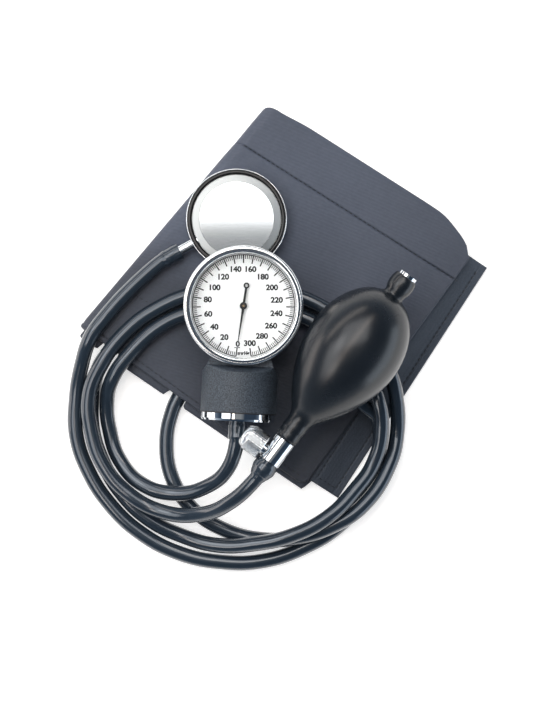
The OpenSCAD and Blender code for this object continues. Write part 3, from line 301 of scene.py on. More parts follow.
leaf((OUTER_FOLD_R, 0), bottom_front, (OUTER_FOLD_R, FOLD_BACK), bottom_back, LEAF_T / 2, 1.6)
for turn, x, z in bend(-90, 90, 22, RIGHT_FOLD_X, INNER_FOLD_R, INNER_FOLD_R):
    stations.append(((*from_flap(x, FLAP_FOLD_FRONT), z), (*from_flap(x, FLAP_FOLD_BACK), z), LEAF_T / 2))
leaf(bottom_front, (OUTER_FOLD_R, INNER_FRONT), bottom_back, (OUTER_FOLD_R, FOLD_BACK),
     LEAF_STEP + LEAF_T / 2, 1.6)
for turn, x, z in bend(270, 90, 22, OUTER_FOLD_R, OUTER_FOLD_R, INNER_FOLD_R):
    back = (FOLD_BACK + INNER_BACK - (INNER_BACK - FOLD_BACK) * math.sin(turn)) / 2
    stations.append(((x, INNER_FRONT, z), (x, back, z), LEAF_T / 2))
leaf((OUTER_FOLD_R, INNER_FRONT), from_flap(-FLAP_W - 0.6, FLAP_FOLD_FRONT), (OUTER_FOLD_R, INNER_BACK),
     from_flap(-FLAP_W - 0.6, FLAP_LENGTH), 2 * LEAF_STEP + LEAF_T / 2, 1.6)


FLAP_ROOT_Z = 3 * LEAF_STEP - 0.4


def droop(x):
    """Height of the hook tape's underside over the flap's width."""
    q = (x + FLAP_W) / FLAP_W
    eased = q - 0.08 * math.sin(2 * math.pi * q)
    return FLAP_ROOT_Z - TAPE_T + eased * (FLAP_EDGE_Z - FLAP_ROOT_Z)


flap_half = (LEAF_T - TAPE_T) / 2
for x in list(steps(-FLAP_W + 0.4, -2.2, 1.2)) + [-d for d in reversed(near_end[:-1])]:
    grip = min(1, (x + FLAP_W) / 1.2)
    z = droop(x) - flap_half
    flap_front = from_flap(x, FLAP_FOLD_FRONT * (1 - grip))
    stations.append(((*flap_front, z), (*from_flap(x, FLAP_LENGTH), z), flap_half))

front = np.array([s[0] for s in stations])
back = np.array([s[1] for s in stations])
half = np.array([s[2] for s in stations])
width = np.linalg.norm(back - front, axis=1)
along = np.concatenate([[0], np.cumsum(np.linalg.norm(np.diff((front + back) / 2, axis=0), axis=1))])
edge_steps = [0, 0.12, 0.4, 0.8, 1.3]
# Where the seam lies, as a share of the width: straight on the top leaf, and level on the others
seam_level = seam_line(OUTER_FOLD_R) / back_edge(OUTER_FOLD_R)
seam_share = np.full(len(stations), seam_level)
for i in range(len(top_xs)):
    seam_y = seam_line((front[i, 0] + 5 * back[i, 0]) / 6)
    seam_share[i] = (seam_y - front[i, 1]) / (back[i, 1] - front[i, 1])
# Rows of points across the band: close together at the edges, the hem and the seam
seam_mm = seam_level * CUFF_W
hem_steps = [1.9, 2.3, 2.6, 2.8, 3, 3.2, 3.4, 3.7, 4.2]
seam_steps = [seam_mm + d for d in (-3, -1.8, -1.2, -0.8, -0.5, -0.25, 0, 0.25, 0.5, 0.8, 1.2, 1.8, 3)]
far_edge_steps = [CUFF_W - d for d in edge_steps]
across_mm = sorted(edge_steps + hem_steps + list(steps(6, seam_mm - 5, 2.2)) + seam_steps
                   + list(steps(seam_mm + 5, CUFF_W - 3, 2.2)) + far_edge_steps)
share = np.array(across_mm) / CUFF_W
spread = np.array([np.interp(share, [0, seam_level, 1], [0, at_seam, 1]) for at_seam in seam_share])
middle = front[:, None, :] + (back - front)[:, None, :] * spread[:, :, None]
normal = -np.cross(np.gradient(middle, axis=0), np.gradient(middle, axis=1))
normal /= np.linalg.norm(normal, axis=2)[:, :, None]
from_front = spread * width[:, None]
from_back = (1 - spread) * width[:, None]
from_ends = np.minimum(along, along[-1] - along)[:, None] + 0 * from_front
top_leaf = (along < TOP_LEAF_LENGTH)[:, None] * 1.0
border = np.minimum(np.minimum(from_front, from_back), from_ends)
rounded = np.sqrt(1 - (1 - np.clip(border / EDGE_MM, 0, 1)) ** 2)

# The lapped seam is a groove with one side a little lower, the hem a stitched dent, and the
# cloth between them undulates and puckers
to_seam = (spread - seam_share[:, None]) * width[:, None]
sag = np.array([[noise.noise(Vector((a / 38, b * 3.6, 0))) + 0.5 * noise.noise(Vector((a / 15, b * 9, 5)))
                 for b in share] for a in along])
pucker = np.sin(2 * math.pi * along / 11 + 1.7 * np.sin(along / 17))[:, None]
dent = 0.7 * np.exp(-(to_seam / 0.35) ** 2) + 0.12 / (1 + np.exp(-to_seam / 0.4))
dent += (0.12 + 0.1 * pucker) * np.exp(-((np.abs(to_seam) - 2) / 5) ** 2)
dent += (0.22 + 0.05 * pucker) * np.exp(-((from_front - HEM_MM) / 0.7) ** 2)
dent += np.clip(0.25 - 0.35 * sag, 0, 0.7) * top_leaf
dent *= np.clip(border / EDGE_MM, 0, 1)
outer = middle + normal * (half[:, None] * rounded - np.minimum(dent, 0.8 * half[:, None]))[:, :, None]
inner = middle - normal * (half[:, None] * rounded)[:, :, None]

rows, columns = share.size, len(stations)
on_border = np.zeros((columns, rows), bool)
on_border[[0, -1], :] = True
on_border[:, [0, -1]] = True
outer[on_border] = middle[on_border]
outer_id = np.arange(columns * rows).reshape(columns, rows)
inner_id = outer_id.copy()
inner_id[~on_border] = columns * rows + np.arange((~on_border).sum())
points = np.concatenate([outer.reshape(-1, 3), inner[~on_border]])
flat_map = np.stack([np.broadcast_to(along[:, None], from_front.shape), from_front], axis=2)
flat_map = np.concatenate([flat_map.reshape(-1, 2), flat_map[~on_border]]) * MM


def quads(ids, flip):
    """Faces between the rows of a grid of point numbers."""
    a, b, c, d = ids[:-1, :-1], ids[1:, :-1], ids[1:, 1:], ids[:-1, 1:]
    order = (d, c, b, a) if flip else (a, b, c, d)
    return np.stack([x.ravel() for x in order], axis=1).tolist()


def mesh_piece(name, points_mm, faces, material, body, place, sharp=40, uv=None):
    """A smooth shaded piece from points in millimetres in the frame of a place."""
    mesh = bpy.data.meshes.new(name)
    mesh.from_pydata([place @ (Vector(p) * MM) for p in points_mm], [], faces)
    mesh.shade_smooth()
    mesh.set_sharp_from_angle(angle=math.radians(sharp))
    if uv is not None:
        layer = mesh.uv_layers.new(name="cloth")
        corner = np.zeros(len(mesh.loops), np.int32)
        mesh.loops.foreach_get("vertex_index", corner)
        layer.data.foreach_set("uv", uv[corner].astype(np.float32).ravel())
    mesh.materials.append(material)
    piece = bpy.data.objects.new(name, mesh)
    scene.collection.objects.link(piece)
    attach(piece, body)
    return piece


# Woven nylon in a fine twill gives an even, soft tone with a faint diagonal and no gloss. The real
# threads are 0.25 mm apart, and they are drawn 0.7 mm apart so that the diagonal shows.
TWILL_MM = 0.7
# At this scale a diagonal wave has one rib for each thread
RIB_SCALE = 0.4396
nylon, tree, shader = new_material("woven_slate_nylon", Roughness=0.62, IOR=1.53,
                                   Sheen_Weight=0.1, Sheen_Roughness=0.4)
cloth_map = add(tree, "UVMap", uv_map="cloth").outputs["UV"]
threads = add(tree, "VectorMath", {0: cloth_map, "Scale": 1 / (TWILL_MM * MM)}, operation="SCALE")
slubs = add(tree, "TexNoise", {"Vector": threads.outputs["Vector"], "Scale": 0.35, "Detail": 3})
ribs = add(tree, "TexWave", {"Vector": threads.outputs["Vector"], "Scale": RIB_SCALE, "Distortion": 0.8,
                             "Detail": 2, "Detail Scale": 1.5}, bands_direction="DIAGONAL")
dye = add(tree, "TexNoise", {"Vector": cloth_map, "Scale": 16, "Detail": 3, "Roughness": 0.55})
tone = add(tree, "Mix", {"Factor": dye.outputs["Fac"], "A": linear("#3b4251"), "B": linear("#4f5767")},
           data_type="RGBA").outputs["Result"]
rib_tone = add(tree, "MapRange", {"Value": ribs.outputs["Fac"], "To Min": 0.9, "To Max": 1.1})
slub_tone = add(tree, "MapRange", {"Value": slubs.outputs["Fac"], "From Min": 0.3, "From Max": 0.7,
                                   "To Min": 0.93, "To Max": 1.07})
# Painted shade: the cloth's colour is made darker along its front edge and a little at the free end, and
# lighter towards the back edge, as if light fell off across the cuff
sides = add(tree, "SeparateXYZ", {0: cloth_map})
painted_front_shading = add(tree, "MapRange", {"Value": sides.outputs["Y"], "From Min": 38 * MM, "From Max": 68 * MM,
                                    "To Min": 0.66, "To Max": 1.16}, interpolation_type="SMOOTHSTEP")
painted_end_shading = add(tree, "MapRange", {"Value": sides.outputs["X"], "From Min": 0, "From Max": 80 * MM,
                                  "To Min": 0.8, "To Max": 1.0})
for part in (rib_tone, slub_tone, painted_front_shading, painted_end_shading):
    scaled = add(tree, "VectorMath", {0: tone, "Scale": part.outputs["Result"]}, operation="SCALE")
    tone = scaled.outputs["Vector"]
tree.links.new(tone, shader.inputs["Base Color"])
finish(tree, shader, ribs.outputs["Fac"], depth_mm=0.12, strength=0.6)

cuff_cloth = mesh_piece("cuff_cloth", points, quads(outer_id, True) + quads(inner_id, False), nylon, "kit",
                        cuff_place, sharp=75, uv=flat_map)
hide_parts("cuff_sleeve")

# Stitching: twisted polyester thread, sewn by machine and pulled into the cloth in short dashes. It
# is dark and dull, and shows as a dotted line.
thread, tree, shader = new_material("twisted_polyester_thread", Roughness=0.55, IOR=1.55)
finish(tree, shader, patches(tree, 0.5), "#14181f", "#2b313c", 0.04)
STITCH_PITCH, STITCH_LENGTH, THREAD_R = 2.7, 1.9, 0.24


def tube_faces(first, rings, sides, ring=False):
    """Faces round a tube made of rings of points, closed into a ring or with two flat ends."""
    faces, whole = [], rings * sides
    for i in range(rings if ring else rings - 1):
        for k in range(sides):
            a, b = i * sides + k, i * sides + (k + 1) % sides
            faces.append(tuple(first + n for n in (a, b, (b + sides) % whole, (a + sides) % whole)))
    if not ring:
        faces.append(tuple(range(first + sides - 1, first - 1, -1)))
        faces.append(tuple(range(first + whole - sides, first + whole)))
    return faces


def stitches(name, paths):
    """Dashes of thread along the given paths, each a list of points in the cuff's frame."""
    made, faces, sides, rings = [], [], 6, 5
    for path in paths:
        line = np.array(path, float)
        far = np.concatenate([[0], np.cumsum(np.linalg.norm(np.diff(line, axis=0), axis=1))])
        for start in np.arange(0.5, far[-1] - STITCH_LENGTH, STITCH_PITCH):
            at = np.linspace(start, start + STITCH_LENGTH, rings)
            centre = np.stack([np.interp(at, far, line[:, k]) for k in range(3)], axis=1)
            way = (centre[-1] - centre[0]) / np.linalg.norm(centre[-1] - centre[0])
            side = np.cross(way, (0, 0, 1))
            up = np.cross(side, way)
            first = len(made)
            for k, c in enumerate(centre):
                lift = math.sin(math.pi * k / (rings - 1))
                r = THREAD_R * (0.45 + 0.55 * lift)
                for a in np.arange(sides) * 2 * math.pi / sides:
                    made.append(c + side * r * math.cos(a) + up * (r * math.sin(a) + 0.16 * lift - 0.12))
            faces += tube_faces(first, rings, sides)
    return mesh_piece(name, made, faces, thread, "kit", cuff_place)


TOP_Z = 3 * LEAF_STEP + LEAF_T
hem_path = [(x, front_edge(x) + HEM_MM, TOP_Z - 0.3) for x in steps(8, 132.5, 3)]
short_seam = [(x, 27.5 + 0.19 * x, TOP_Z - 0.35) for x in steps(3, 46, 3)]
leaf_hem = [(x, 8.6 + (x - 108) * 0.1532, 2 * LEAF_STEP + LEAF_T - 0.1) for x in steps(108, 131.5, 2.35)]
long_seam = [(x, seam_line(x), TOP_Z - 0.45) for x in steps(4, 132, 4)]
cuff_stitching = stitches("cuff_stitching", [hem_path, short_seam, leaf_hem, long_seam])

# Hook tape: a tape woven of nylon, ribbed, with its hooks in fine rows. It is sewn along the
# drooping flap with two lines of stitches.
RIB_PITCH, RIB_H = 1.5, 0.025
TAPE_SEAMS = (-3.6, -14.6)
tape_edge_xs = {-FLAP_W, -FLAP_W + 0.15, -0.15, -0.05, 0}
tape_xs = np.array(sorted(tape_edge_xs | set(steps(-FLAP_W + 0.4, -0.4, 0.3))))
tape_ys = steps(0, FLAP_LENGTH, 2.2)
top_rows, low_rows = [], []
for y in tape_ys:
    end_ease = min(1, min(y, FLAP_LENGTH - y) / 0.6 + 0.35)
    for x in tape_xs:
        rib = RIB_H * math.sin(2 * math.pi * x / RIB_PITCH)
        edge = math.sqrt(1 - (1 - min(1, min(x + FLAP_W, -x) / 0.4 + 0.05)) ** 2)
        seam_dent = sum(0.25 * math.exp(-((x - seam_x) / 0.5) ** 2) for seam_x in TAPE_SEAMS)
        ripple = 0.12 * noise.noise(Vector((x / 9, y / 14, 3)))
        under = droop(x) + 0.02
        over = under + (TAPE_T - 0.18) * edge * end_ease + (rib - seam_dent + ripple) * edge * end_ease
        px, py = from_flap(x, y)
        top_rows.append((px, py, over))
        low_rows.append((px, py, under))
grid = np.arange(len(top_rows)).reshape(len(tape_ys), len(tape_xs))
low_grid = grid + len(top_rows)
faces = quads(grid, True) + quads(low_grid, False)
for a, b in [(grid[0], low_grid[0]), (low_grid[-1], grid[-1]), (low_grid[:, 0], grid[:, 0]),
             (grid[:, -1], low_grid[:, -1])]:
    faces += quads(np.stack([a, b]), False)
# Hooks scatter the light: the tape is duller and greyer than the cloth, with a fine dotted grain.
# The real hooks are 0.6 mm apart, and they are drawn 0.9 mm apart to show.
HOOK_MM = 0.9
tape, tree, shader = new_material("woven_hook_tape", Roughness=0.7, IOR=1.53, Sheen_Weight=0.15)
place = add(tree, "TexCoord").outputs["Object"]
in_hooks = add(tree, "VectorMath", {0: place, "Scale": 1 / (HOOK_MM * MM)}, operation="SCALE")
hooks = add(tree, "TexVoronoi", {"Vector": in_hooks.outputs["Vector"], "Scale": 1,
                                 "Randomness": 0.6}).outputs["Distance"]
tone = add(tree, "Mix", {"Factor": patches(tree, 30, 3), "A": linear("#37404c"), "B": linear("#454e5c")},
           data_type="RGBA").outputs["Result"]
dots = add(tree, "MapRange", {"Value": hooks, "To Min": 1.12, "To Max": 0.78}).outputs["Result"]
tone = add(tree, "VectorMath", {0: tone, "Scale": dots}, operation="SCALE").outputs["Vector"]
tree.links.new(tone, shader.inputs["Base Color"])
finish(tree, shader, hooks, depth_mm=0.1, strength=0.6)
hook_tape = mesh_piece("hook_tape", top_rows + low_rows, faces, tape, "kit", cuff_place)
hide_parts("hook_strip")
tape_lines = [[(x, y) for y in steps(3, FLAP_LENGTH - 2, 4)] for x in TAPE_SEAMS]
tape_lines.append([(x, 3.4) for x in steps(-14, -4, 1)])
tape_stitching = stitches("tape_stitching", [
    [(*from_flap(x, y), droop(x) + TAPE_T - 0.15) for x, y in line] for line in tape_lines])


# Bladder and ports: a flat bag of calendered rubber sheet, welded at its edges, in the lower fold of
# the cuff, and the moulded nylon ports that lead out of it to the hoses
def dress(material, *nodes):
    """Puts a material on solids that keep their form."""
    for name in nodes:
        data = frame["nodes"][name].data
        data.materials.clear()
        data.materials.append(material)


# Calendered rubber is dull and slightly cloudy
bladder_rubber, tree, shader = new_material("calendered_bladder_rubber", Roughness=0.6, IOR=1.52)
finish(tree, shader, patches(tree, 9, 4), "#1f1f23", "#2f2f34", 0.05)
dress(bladder_rubber, "air_bladder")
# Moulded nylon has a fine even grain and a low gloss
moulded_black, tree, shader = new_material("moulded_black_nylon", Roughness=0.42, IOR=1.53)
finish(tree, shader, patches(tree, 0.4), "#18191c", "#222327", 0.02)
dress(moulded_black, "valve_port", "gauge_port", "hose_connector")


# Gauge: a die cast housing in black crinkle paint, with the dial under its crystal and the drum
# of the pressure capsule behind it

# Crinkle paint shrinks into fine wrinkles as it is baked, with no clear highlight. Its colour is painted
# light on the wrinkles' crests and painted shade in their hollows. Its wrinkles are about 0.3 mm across, and
# they are drawn 0.6 mm across to show.
crinkle, tree, shader = new_material("black_crinkle_paint", Roughness=0.5, IOR=1.5)
wrinkles = patches(tree, 0.6, 2, 0.6)
crest_light_hollow_shade = add(tree, "MapRange", {"Value": wrinkles, "From Min": 0.35, "From Max": 0.68}).outputs["Result"]
finish(tree, shader, crest_light_hollow_shade, "#252c35", "#4d5864")
finish(tree, shader, wrinkles, depth_mm=0.22)
dress(crinkle, "gauge_housing")

# Chrome plate on polished brass is a nearly perfect mirror, a little hazy in places
chrome, tree, shader = new_material("polished_chrome_plate", Metallic=1, Roughness=0.06)
haze = patches(tree, 6, 4)
finish(tree, shader, haze, "#d6dade", "#e6e9ec")
gloss = add(tree, "MapRange", {"Value": haze, "To Min": 0.03, "To Max": 0.09})
tree.links.new(gloss.outputs["Result"], shader.inputs["Roughness"])
dress(chrome, "base_flange", "gauge_nipple", "intake_body", "valve_body", "chest_stem")

# Satin chrome is brushed before plating, which spreads the light that it mirrors into a soft white
satin_chrome, tree, shader = new_material("satin_chrome_plate", Metallic=1, Roughness=0.2)
finish(tree, shader, patches(tree, 3), "#e6e9eb", "#f2f4f5")

# Bezel: spun from brass strip and plated in satin chrome, a flat ring with a rounded rim and a steep
# lip that falls to the crystal. It is pressed over the case.
def lathe(name, profile, place, material, body, sides=96, ripple=None, sharp=40, ring=False):
    """Turns a profile of (radius, height) points about the z axis of a place, as a ring or as a
    solid with flat ends. The ripple gives the height of ribs at a radius, height and angle."""
    made = []
    for r, h in profile:
        for k in range(sides):
            a = 2 * math.pi * k / sides
            out = r + (ripple(r, h, a) if ripple else 0)
            made.append((out * math.cos(a), out * math.sin(a), h))
    faces = tube_faces(0, len(profile), sides, ring)
    return mesh_piece(name, made, faces, material, body, place, sharp)


def quarter_round(r, top, radius):
    """Points of a profile that turn from a wall of radius r to a top."""
    turns = [math.radians(a) for a in steps(0, 90, 7.5)]
    return [(r - radius * (1 - math.cos(t)), top - radius * (1 - math.sin(t))) for t in turns]


bezel_low, bezel_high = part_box("bezel")
gauge_axis = (bezel_low + bezel_high) / 2
dial_place = Matrix.Translation((gauge_axis.x, gauge_axis.y, 0))
BEZEL_R, BEZEL_TOP, RIM_R = 29.3, 48.0, 1.3
bezel_profile = [(27.1, 46.65), (27.1, 42), (29.1, 42), (BEZEL_R, 42.2)]
bezel_profile += quarter_round(BEZEL_R, BEZEL_TOP, RIM_R)
bezel_profile += [(26.3, BEZEL_TOP), (26.1, 47.8), (25.8, 46.75), (25.7, 46.65)]
bezel_ring = lathe("bezel_ring", bezel_profile, dial_place, satin_chrome, "kit", 180, sharp=50, ring=True)
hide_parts("bezel")

# Bezel band: a painted reflection, a thin glossy slate ring laid level on the flat of the bezel. It stands
# for the dark room that the chrome mirrors there, and shows as a dark ring in the chrome.
bezel_reflection_paint, tree, shader = new_material("slate_painted_reflection", Roughness=0.2, IOR=1.5)
finish(tree, shader, patches(tree, 4), "#232e3b", "#2f3c4b")
LINE_IN, LINE_OUT, LINE_T = 26.7, 27.8, 0.03
line_profile = [(LINE_IN, BEZEL_TOP - 0.1), (LINE_OUT, BEZEL_TOP - 0.1), (LINE_OUT, BEZEL_TOP + LINE_T),
                (LINE_IN, BEZEL_TOP + LINE_T)]
bezel_reflection_band = lathe("bezel_reflection_band", line_profile, dial_place, bezel_reflection_paint, "kit", 180, sharp=60, ring=True)

# Seals and check discs: small rings and discs of moulded nitrile rubber, squeezed between their
# metal neighbours. Their skin is dull and fine grained.
seal_rubber, tree, shader = new_material("moulded_seal_rubber", Roughness=0.5, IOR=1.52)
finish(tree, shader, patches(tree, 0.6), "#121316", "#1c1d21", 0.02)
dress(seal_rubber, "crystal_gasket", "drum_gasket", "needle_o_ring", "intake_disc", "outlet_disc")

# Crystal: a disc of clear pressed glass that the bezel holds on its seal. Shadow rays pass straight
# through it, so that light falls on the dial.
glass, tree, shader = new_material("clear_pressed_glass", Roughness=0.0, IOR=1.5, Transmission_Weight=1)
shader.inputs["Base Color"].default_value = linear("#fbfdfe")
clear = add(tree, "BsdfTransparent")
passing = add(tree, "LightPath").outputs["Is Shadow Ray"]
mixed = add(tree, "MixShader", {0: passing, 1: shader.outputs["BSDF"], 2: clear.outputs["BSDF"]})
tree.links.new(mixed.outputs["Shader"], tree.nodes["Material Output"].inputs["Surface"])
dress(glass, "crystal")

# Dial: a disc of brass sheet in baked white enamel, screwed to the movement. The enamel is even and
# almost without gloss.
enamel, tree, shader = new_material("baked_white_enamel", Roughness=0.45, IOR=1.5)
finish(tree, shader, patches(tree, 8), "#fafaf9", "#fdfdfd", 0.005)
dress(enamel, "dial")

# Printed scale: dull black ink, screen printed on the dial. It has a mark every 2, a long one every
# 10 and a number every 20, clockwise.
ink, tree, shader = new_material("screen_printed_ink", Roughness=0.85, IOR=1.4)
finish(tree, shader, patches(tree, 0.5), "#020202", "#060606")
SCALE_SWEEP, SCALE_TOP, SCALE_GAP = 342.86, 300, 8.57
DIAL_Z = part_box("dial")[1].z / MM
INK_T = 0.03
MARK_R, SHORT_R, LONG_R, RING_R = 24.9, 22.9, 20.9, 25.0
NUMBER_SIZE, NUMBER_STRETCH = 3.7, 1.06
# A digit's width and height as shares of the size of the letters
DIGIT_W, DIGIT_H = 0.62, 0.73
UNIT_SIZE, UNIT_STRETCH, UNIT_Y = 2.3, 0.92, -23.4
MARK_W, LONG_MARK_W, RING_W, NUMBER_STROKE = 0.36, 0.6, 0.4, 0.16
print_points, print_faces = [], []


def raise_outline(outline, low, high, points, faces):
    """Adds the solid between two heights over an outline to some points and faces."""
    faces.extend(tube_faces(len(points), 2, len(outline)))
    points.extend([(x, y, low) for x, y in outline] + [(x, y, high) for x, y in outline])


def print_solid(outline):
    """A thin raised shape of ink from an outline in the dial's plane."""
    raise_outline(outline, DIAL_Z - 0.01, DIAL_Z + INK_T, print_points, print_faces)


def scale_angle(value):
    """Where the dial shows a value, clockwise from a little past the dial's foot."""
    return math.radians(-90 - SCALE_GAP - SCALE_SWEEP * value / SCALE_TOP)


def mark(angle, r_in, r_out, w):
    """A mark of the scale between two radii."""
    c, s = math.cos(angle), math.sin(angle)
    print_solid([(r * c - side * s, r * s + side * c)
                 for r, side in ((r_in, -w / 2), (r_out, -w / 2), (r_out, w / 2), (r_in, w / 2))])


for value in range(0, SCALE_TOP + 1, 2):
    long = value % 10 == 0
    mark(scale_angle(value), LONG_R if long else SHORT_R, MARK_R, LONG_MARK_W if long else MARK_W)
ring_in, ring_out = RING_R - RING_W / 2, RING_R + RING_W / 2
for value in range(0, SCALE_TOP, 2):
    a, b = scale_angle(value), scale_angle(value + 2)
    print_solid([(r * math.cos(t), r * math.sin(t))
                 for r, t in ((ring_in, b), (ring_out, b), (ring_out, a), (ring_in, a))])
zero = scale_angle(0)
bar_x, bar_y = LONG_R * math.cos(zero), LONG_R * math.sin(zero) + 0.2
BAR_HALF_W, BAR_HALF_H = 1.4, 0.18
print_solid([(bar_x + side * BAR_HALF_W, bar_y + up * BAR_HALF_H)
             for side, up in ((-1, -1), (1, -1), (1, 1), (-1, 1))])


def lettering(words, size, stretch):
    """The flat mesh of some words, centred on the origin, in millimetres."""
    text = bpy.data.curves.new("lettering", "FONT")
    text.body = words
    text.size = size
    text.resolution_u = 6
    text.offset = NUMBER_STROKE
    text.extrude = INK_T / 2
    holder = bpy.data.objects.new("lettering", text)
    made = bpy.data.meshes.new_from_object(holder)
    spots = np.array([v.co for v in made.vertices])
    faces = [tuple(p.vertices) for p in made.polygons]
    bpy.data.meshes.remove(made)
    bpy.data.objects.remove(holder)
    bpy.data.curves.remove(text)
    spots[:, :2] -= (spots[:, :2].min(0) + spots[:, :2].max(0)) / 2
    spots[:, 0] *= stretch
    return spots, faces


def print_words(words, x, y, size, stretch):
    """Prints some words with their middle at a point of the dial."""
    spots, faces = lettering(words, size, stretch)
    first = len(print_points)
    print_points.extend((x + p[0], y + p[1], DIAL_Z + p[2] + INK_T / 2) for p in spots)
    print_faces.extend(tuple(first + i for i in f) for f in faces)


for value in range(0, SCALE_TOP + 1, 20):
    angle = scale_angle(value)
    half_w = DIGIT_W * NUMBER_SIZE * len(str(value)) * NUMBER_STRETCH / 2
    half_h = DIGIT_H * NUMBER_SIZE / 2
    r = LONG_R - 0.55 - abs(math.cos(angle)) * half_w - abs(math.sin(angle)) * half_h
    shift = 0.35 if value == 300 else 0
    print_words(str(value), r * math.cos(angle) + shift, r * math.sin(angle), NUMBER_SIZE, NUMBER_STRETCH)
print_words("mmHg", 0.0, UNIT_Y, UNIT_SIZE, UNIT_STRETCH)
dial_print = mesh_piece("dial_print", print_points, print_faces, ink, "kit", dial_place, sharp=20)

# Pointer: a tapering blade with a ring in its tail and a domed hub, stamped from steel sheet,
# pressed on the pinion's arbor and lacquered in dull black
pointer_paint, tree, shader = new_material("black_lacquered_steel", Roughness=0.8, IOR=1.45)
finish(tree, shader, patches(tree, 1.5, 3), "#020203", "#08090a")
zero_way = (math.cos(zero), math.sin(zero))


def pointer_point(along, side):
    """A point of the pointer: along it from the hub to the scale's zero, and to its side."""
    return along * zero_way[0] - side * zero_way[1], along * zero_way[1] + side * zero_way[0]


TAIL_RING_AT, TAIL_RING_R, TAIL_HOLE_R = -9.98, 1.45, 0.72
POINTER_LOW, POINTER_HIGH = 41.4, 41.8
TAIL_END, BLADE_END = -8.8, 17.5
TAIL_HALF_W, HUB_HALF_W, TIP_HALF_W = 0.5, 0.62, 0.2
blade_edge = [(TAIL_END, TAIL_HALF_W), (0, HUB_HALF_W), (BLADE_END, TIP_HALF_W)]
blade = [pointer_point(far, -half_w) for far, half_w in blade_edge]
blade += [pointer_point(far, half_w) for far, half_w in reversed(blade_edge)]
blade_points, blade_faces = [], []
raise_outline(blade, POINTER_LOW, POINTER_HIGH, blade_points, blade_faces)
pointer_blade = mesh_piece("pointer_blade", blade_points, blade_faces, pointer_paint, "pointer_body",
                           dial_place, sharp=30)
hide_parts("pointer")
ring_place = dial_place @ Matrix.Translation(Vector((*pointer_point(TAIL_RING_AT, 0), 0)) * MM)
tail_ring = lathe("pointer_tail_ring", [(TAIL_HOLE_R, POINTER_LOW), (TAIL_RING_R, POINTER_LOW),
                                        (TAIL_RING_R, POINTER_HIGH), (TAIL_HOLE_R, POINTER_HIGH)],
                  ring_place, pointer_paint, "pointer_body", 48, ring=True)
hub = lathe("pointer_hub", [(0.55, POINTER_LOW), (1.8, POINTER_LOW), (1.8, 42.0), (1.6, 42.2), (0.55, 42.2)],
            dial_place, pointer_paint, "pointer_body", 48, ring=True)

# Movement: stamped brass plates on turned pillars, held by screws, with steel arbors and a bronze
# pressure capsule that is soldered to its post. Nothing of it shows but the end of the pinion.

# Turned steel keeps fine tool marks that soften its shine
steel, tree, shader = new_material("turned_steel", Metallic=1, Roughness=0.28)
finish(tree, shader, patches(tree, 0.3), "#a3a7ac", "#c3c6ca", 0.01)
dress(steel, "push_rod", "release_needle", "plate_screw_1", "plate_screw_2", "plate_screw_3", "hairspring",
      "intake_screen")
# Tempering leaves a straw brown film on steel
straw_steel, tree, shader = new_material("straw_tempered_steel", Metallic=1, Roughness=0.35)
finish(tree, shader, patches(tree, 0.5), "#6e5c48", "#8a7457")
dress(straw_steel, "pinion_arbor")
# Brushed brass has a warm, slightly blurred shine
brass, tree, shader = new_material("brushed_brass", Metallic=1, Roughness=0.3)
finish(tree, shader, patches(tree, 0.4, 3), "#b8953f", "#d3b266", 0.01)
dress(brass, "back_plate", "front_plate", "pillar_1", "pillar_2", "pillar_3", "sector_gear", "capsule_post",
      "outlet_seat")
# Rolled phosphor bronze is redder than brass, with a soft satin shine
bronze, tree, shader = new_material("rolled_phosphor_bronze", Metallic=1, Roughness=0.33)
finish(tree, shader, patches(tree, 1.2, 3), "#a5753f", "#c2945a", 0.01)
dress(bronze, "lower_diaphragm", "upper_diaphragm")


# Bulb: moulded black rubber, blown from one piece, with a waisted tail on the intake valve and a
# neck stretched over the release valve
joints = {j["name"]: j for j in frame["joints"]}
bulb_way = Vector(joints["outlet_disc_lift"]["axis"]).normalized()
KNOB_FROM_TAIL = 108.5
knob_foot = Vector(joints["release_knob_turn"]["pos_m"])
tail = knob_foot - bulb_way * KNOB_FROM_TAIL * MM
BULB_R, BULB_MID, TAIL_HALF, FRONT_REACH = 24.05, 43, 32.6, 49.5


def standing_on(foot, way):
    """The place of a turned piece that starts at a foot and points a given way."""
    across = way.cross(Vector((0, 0, 1))).normalized()
    return Matrix.Translation(foot) @ Matrix((across, across.cross(way), way)).transposed().to_4x4()


def bulb_radius(t):
    """Radius of the body at a distance from the tail: half an ellipse, then a long taper."""
    if t < BULB_MID:
        return BULB_R * math.sqrt(max(0, 1 - ((BULB_MID - t) / TAIL_HALF) ** 2))
    return BULB_R * (1 - ((t - BULB_MID) / FRONT_REACH) ** 2)


# Radius and distance from the tail's end: the barrel tail, the body and the two waves of the neck
tail_profile = [(3.75, 9), (3.75, 0.2), (4.5, 0), (5.4, 0.05), (5.75, 0.4), (6.1, 1.3), (6.4, 2.7),
                (6.5, 4.2), (6.45, 5.7), (6.2, 7.2), (5.75, 8.5), (5.35, 9.5), (5.2, 10.3), (5.4, 11),
                (6.1, 11.6), (7.1, 12.1), (8.3, 12.6)]
body_steps = [13.2, 14.2, 15.5, 17, 19, 21.5, 24.5, *range(28, 73, 4), 75.5, 78.5, 81]
neck_profile = [(7.75, 83.4), (6.65, 85.6), (6.05, 87.6), (5.8, 89.2), (5.95, 90.6), (6.1, 91.8),
                (5.85, 93.2), (5.7, 94.4), (5.9, 95.6), (6.05, 96.8), (5.9, 97.9), (5.5, 98.55),
                (4.6, 98.7), (3.7, 98.6), (3.7, 90)]
bulb_profile = tail_profile + [(bulb_radius(t), t) for t in body_steps] + neck_profile
bulb_place = standing_on(tail, bulb_way)

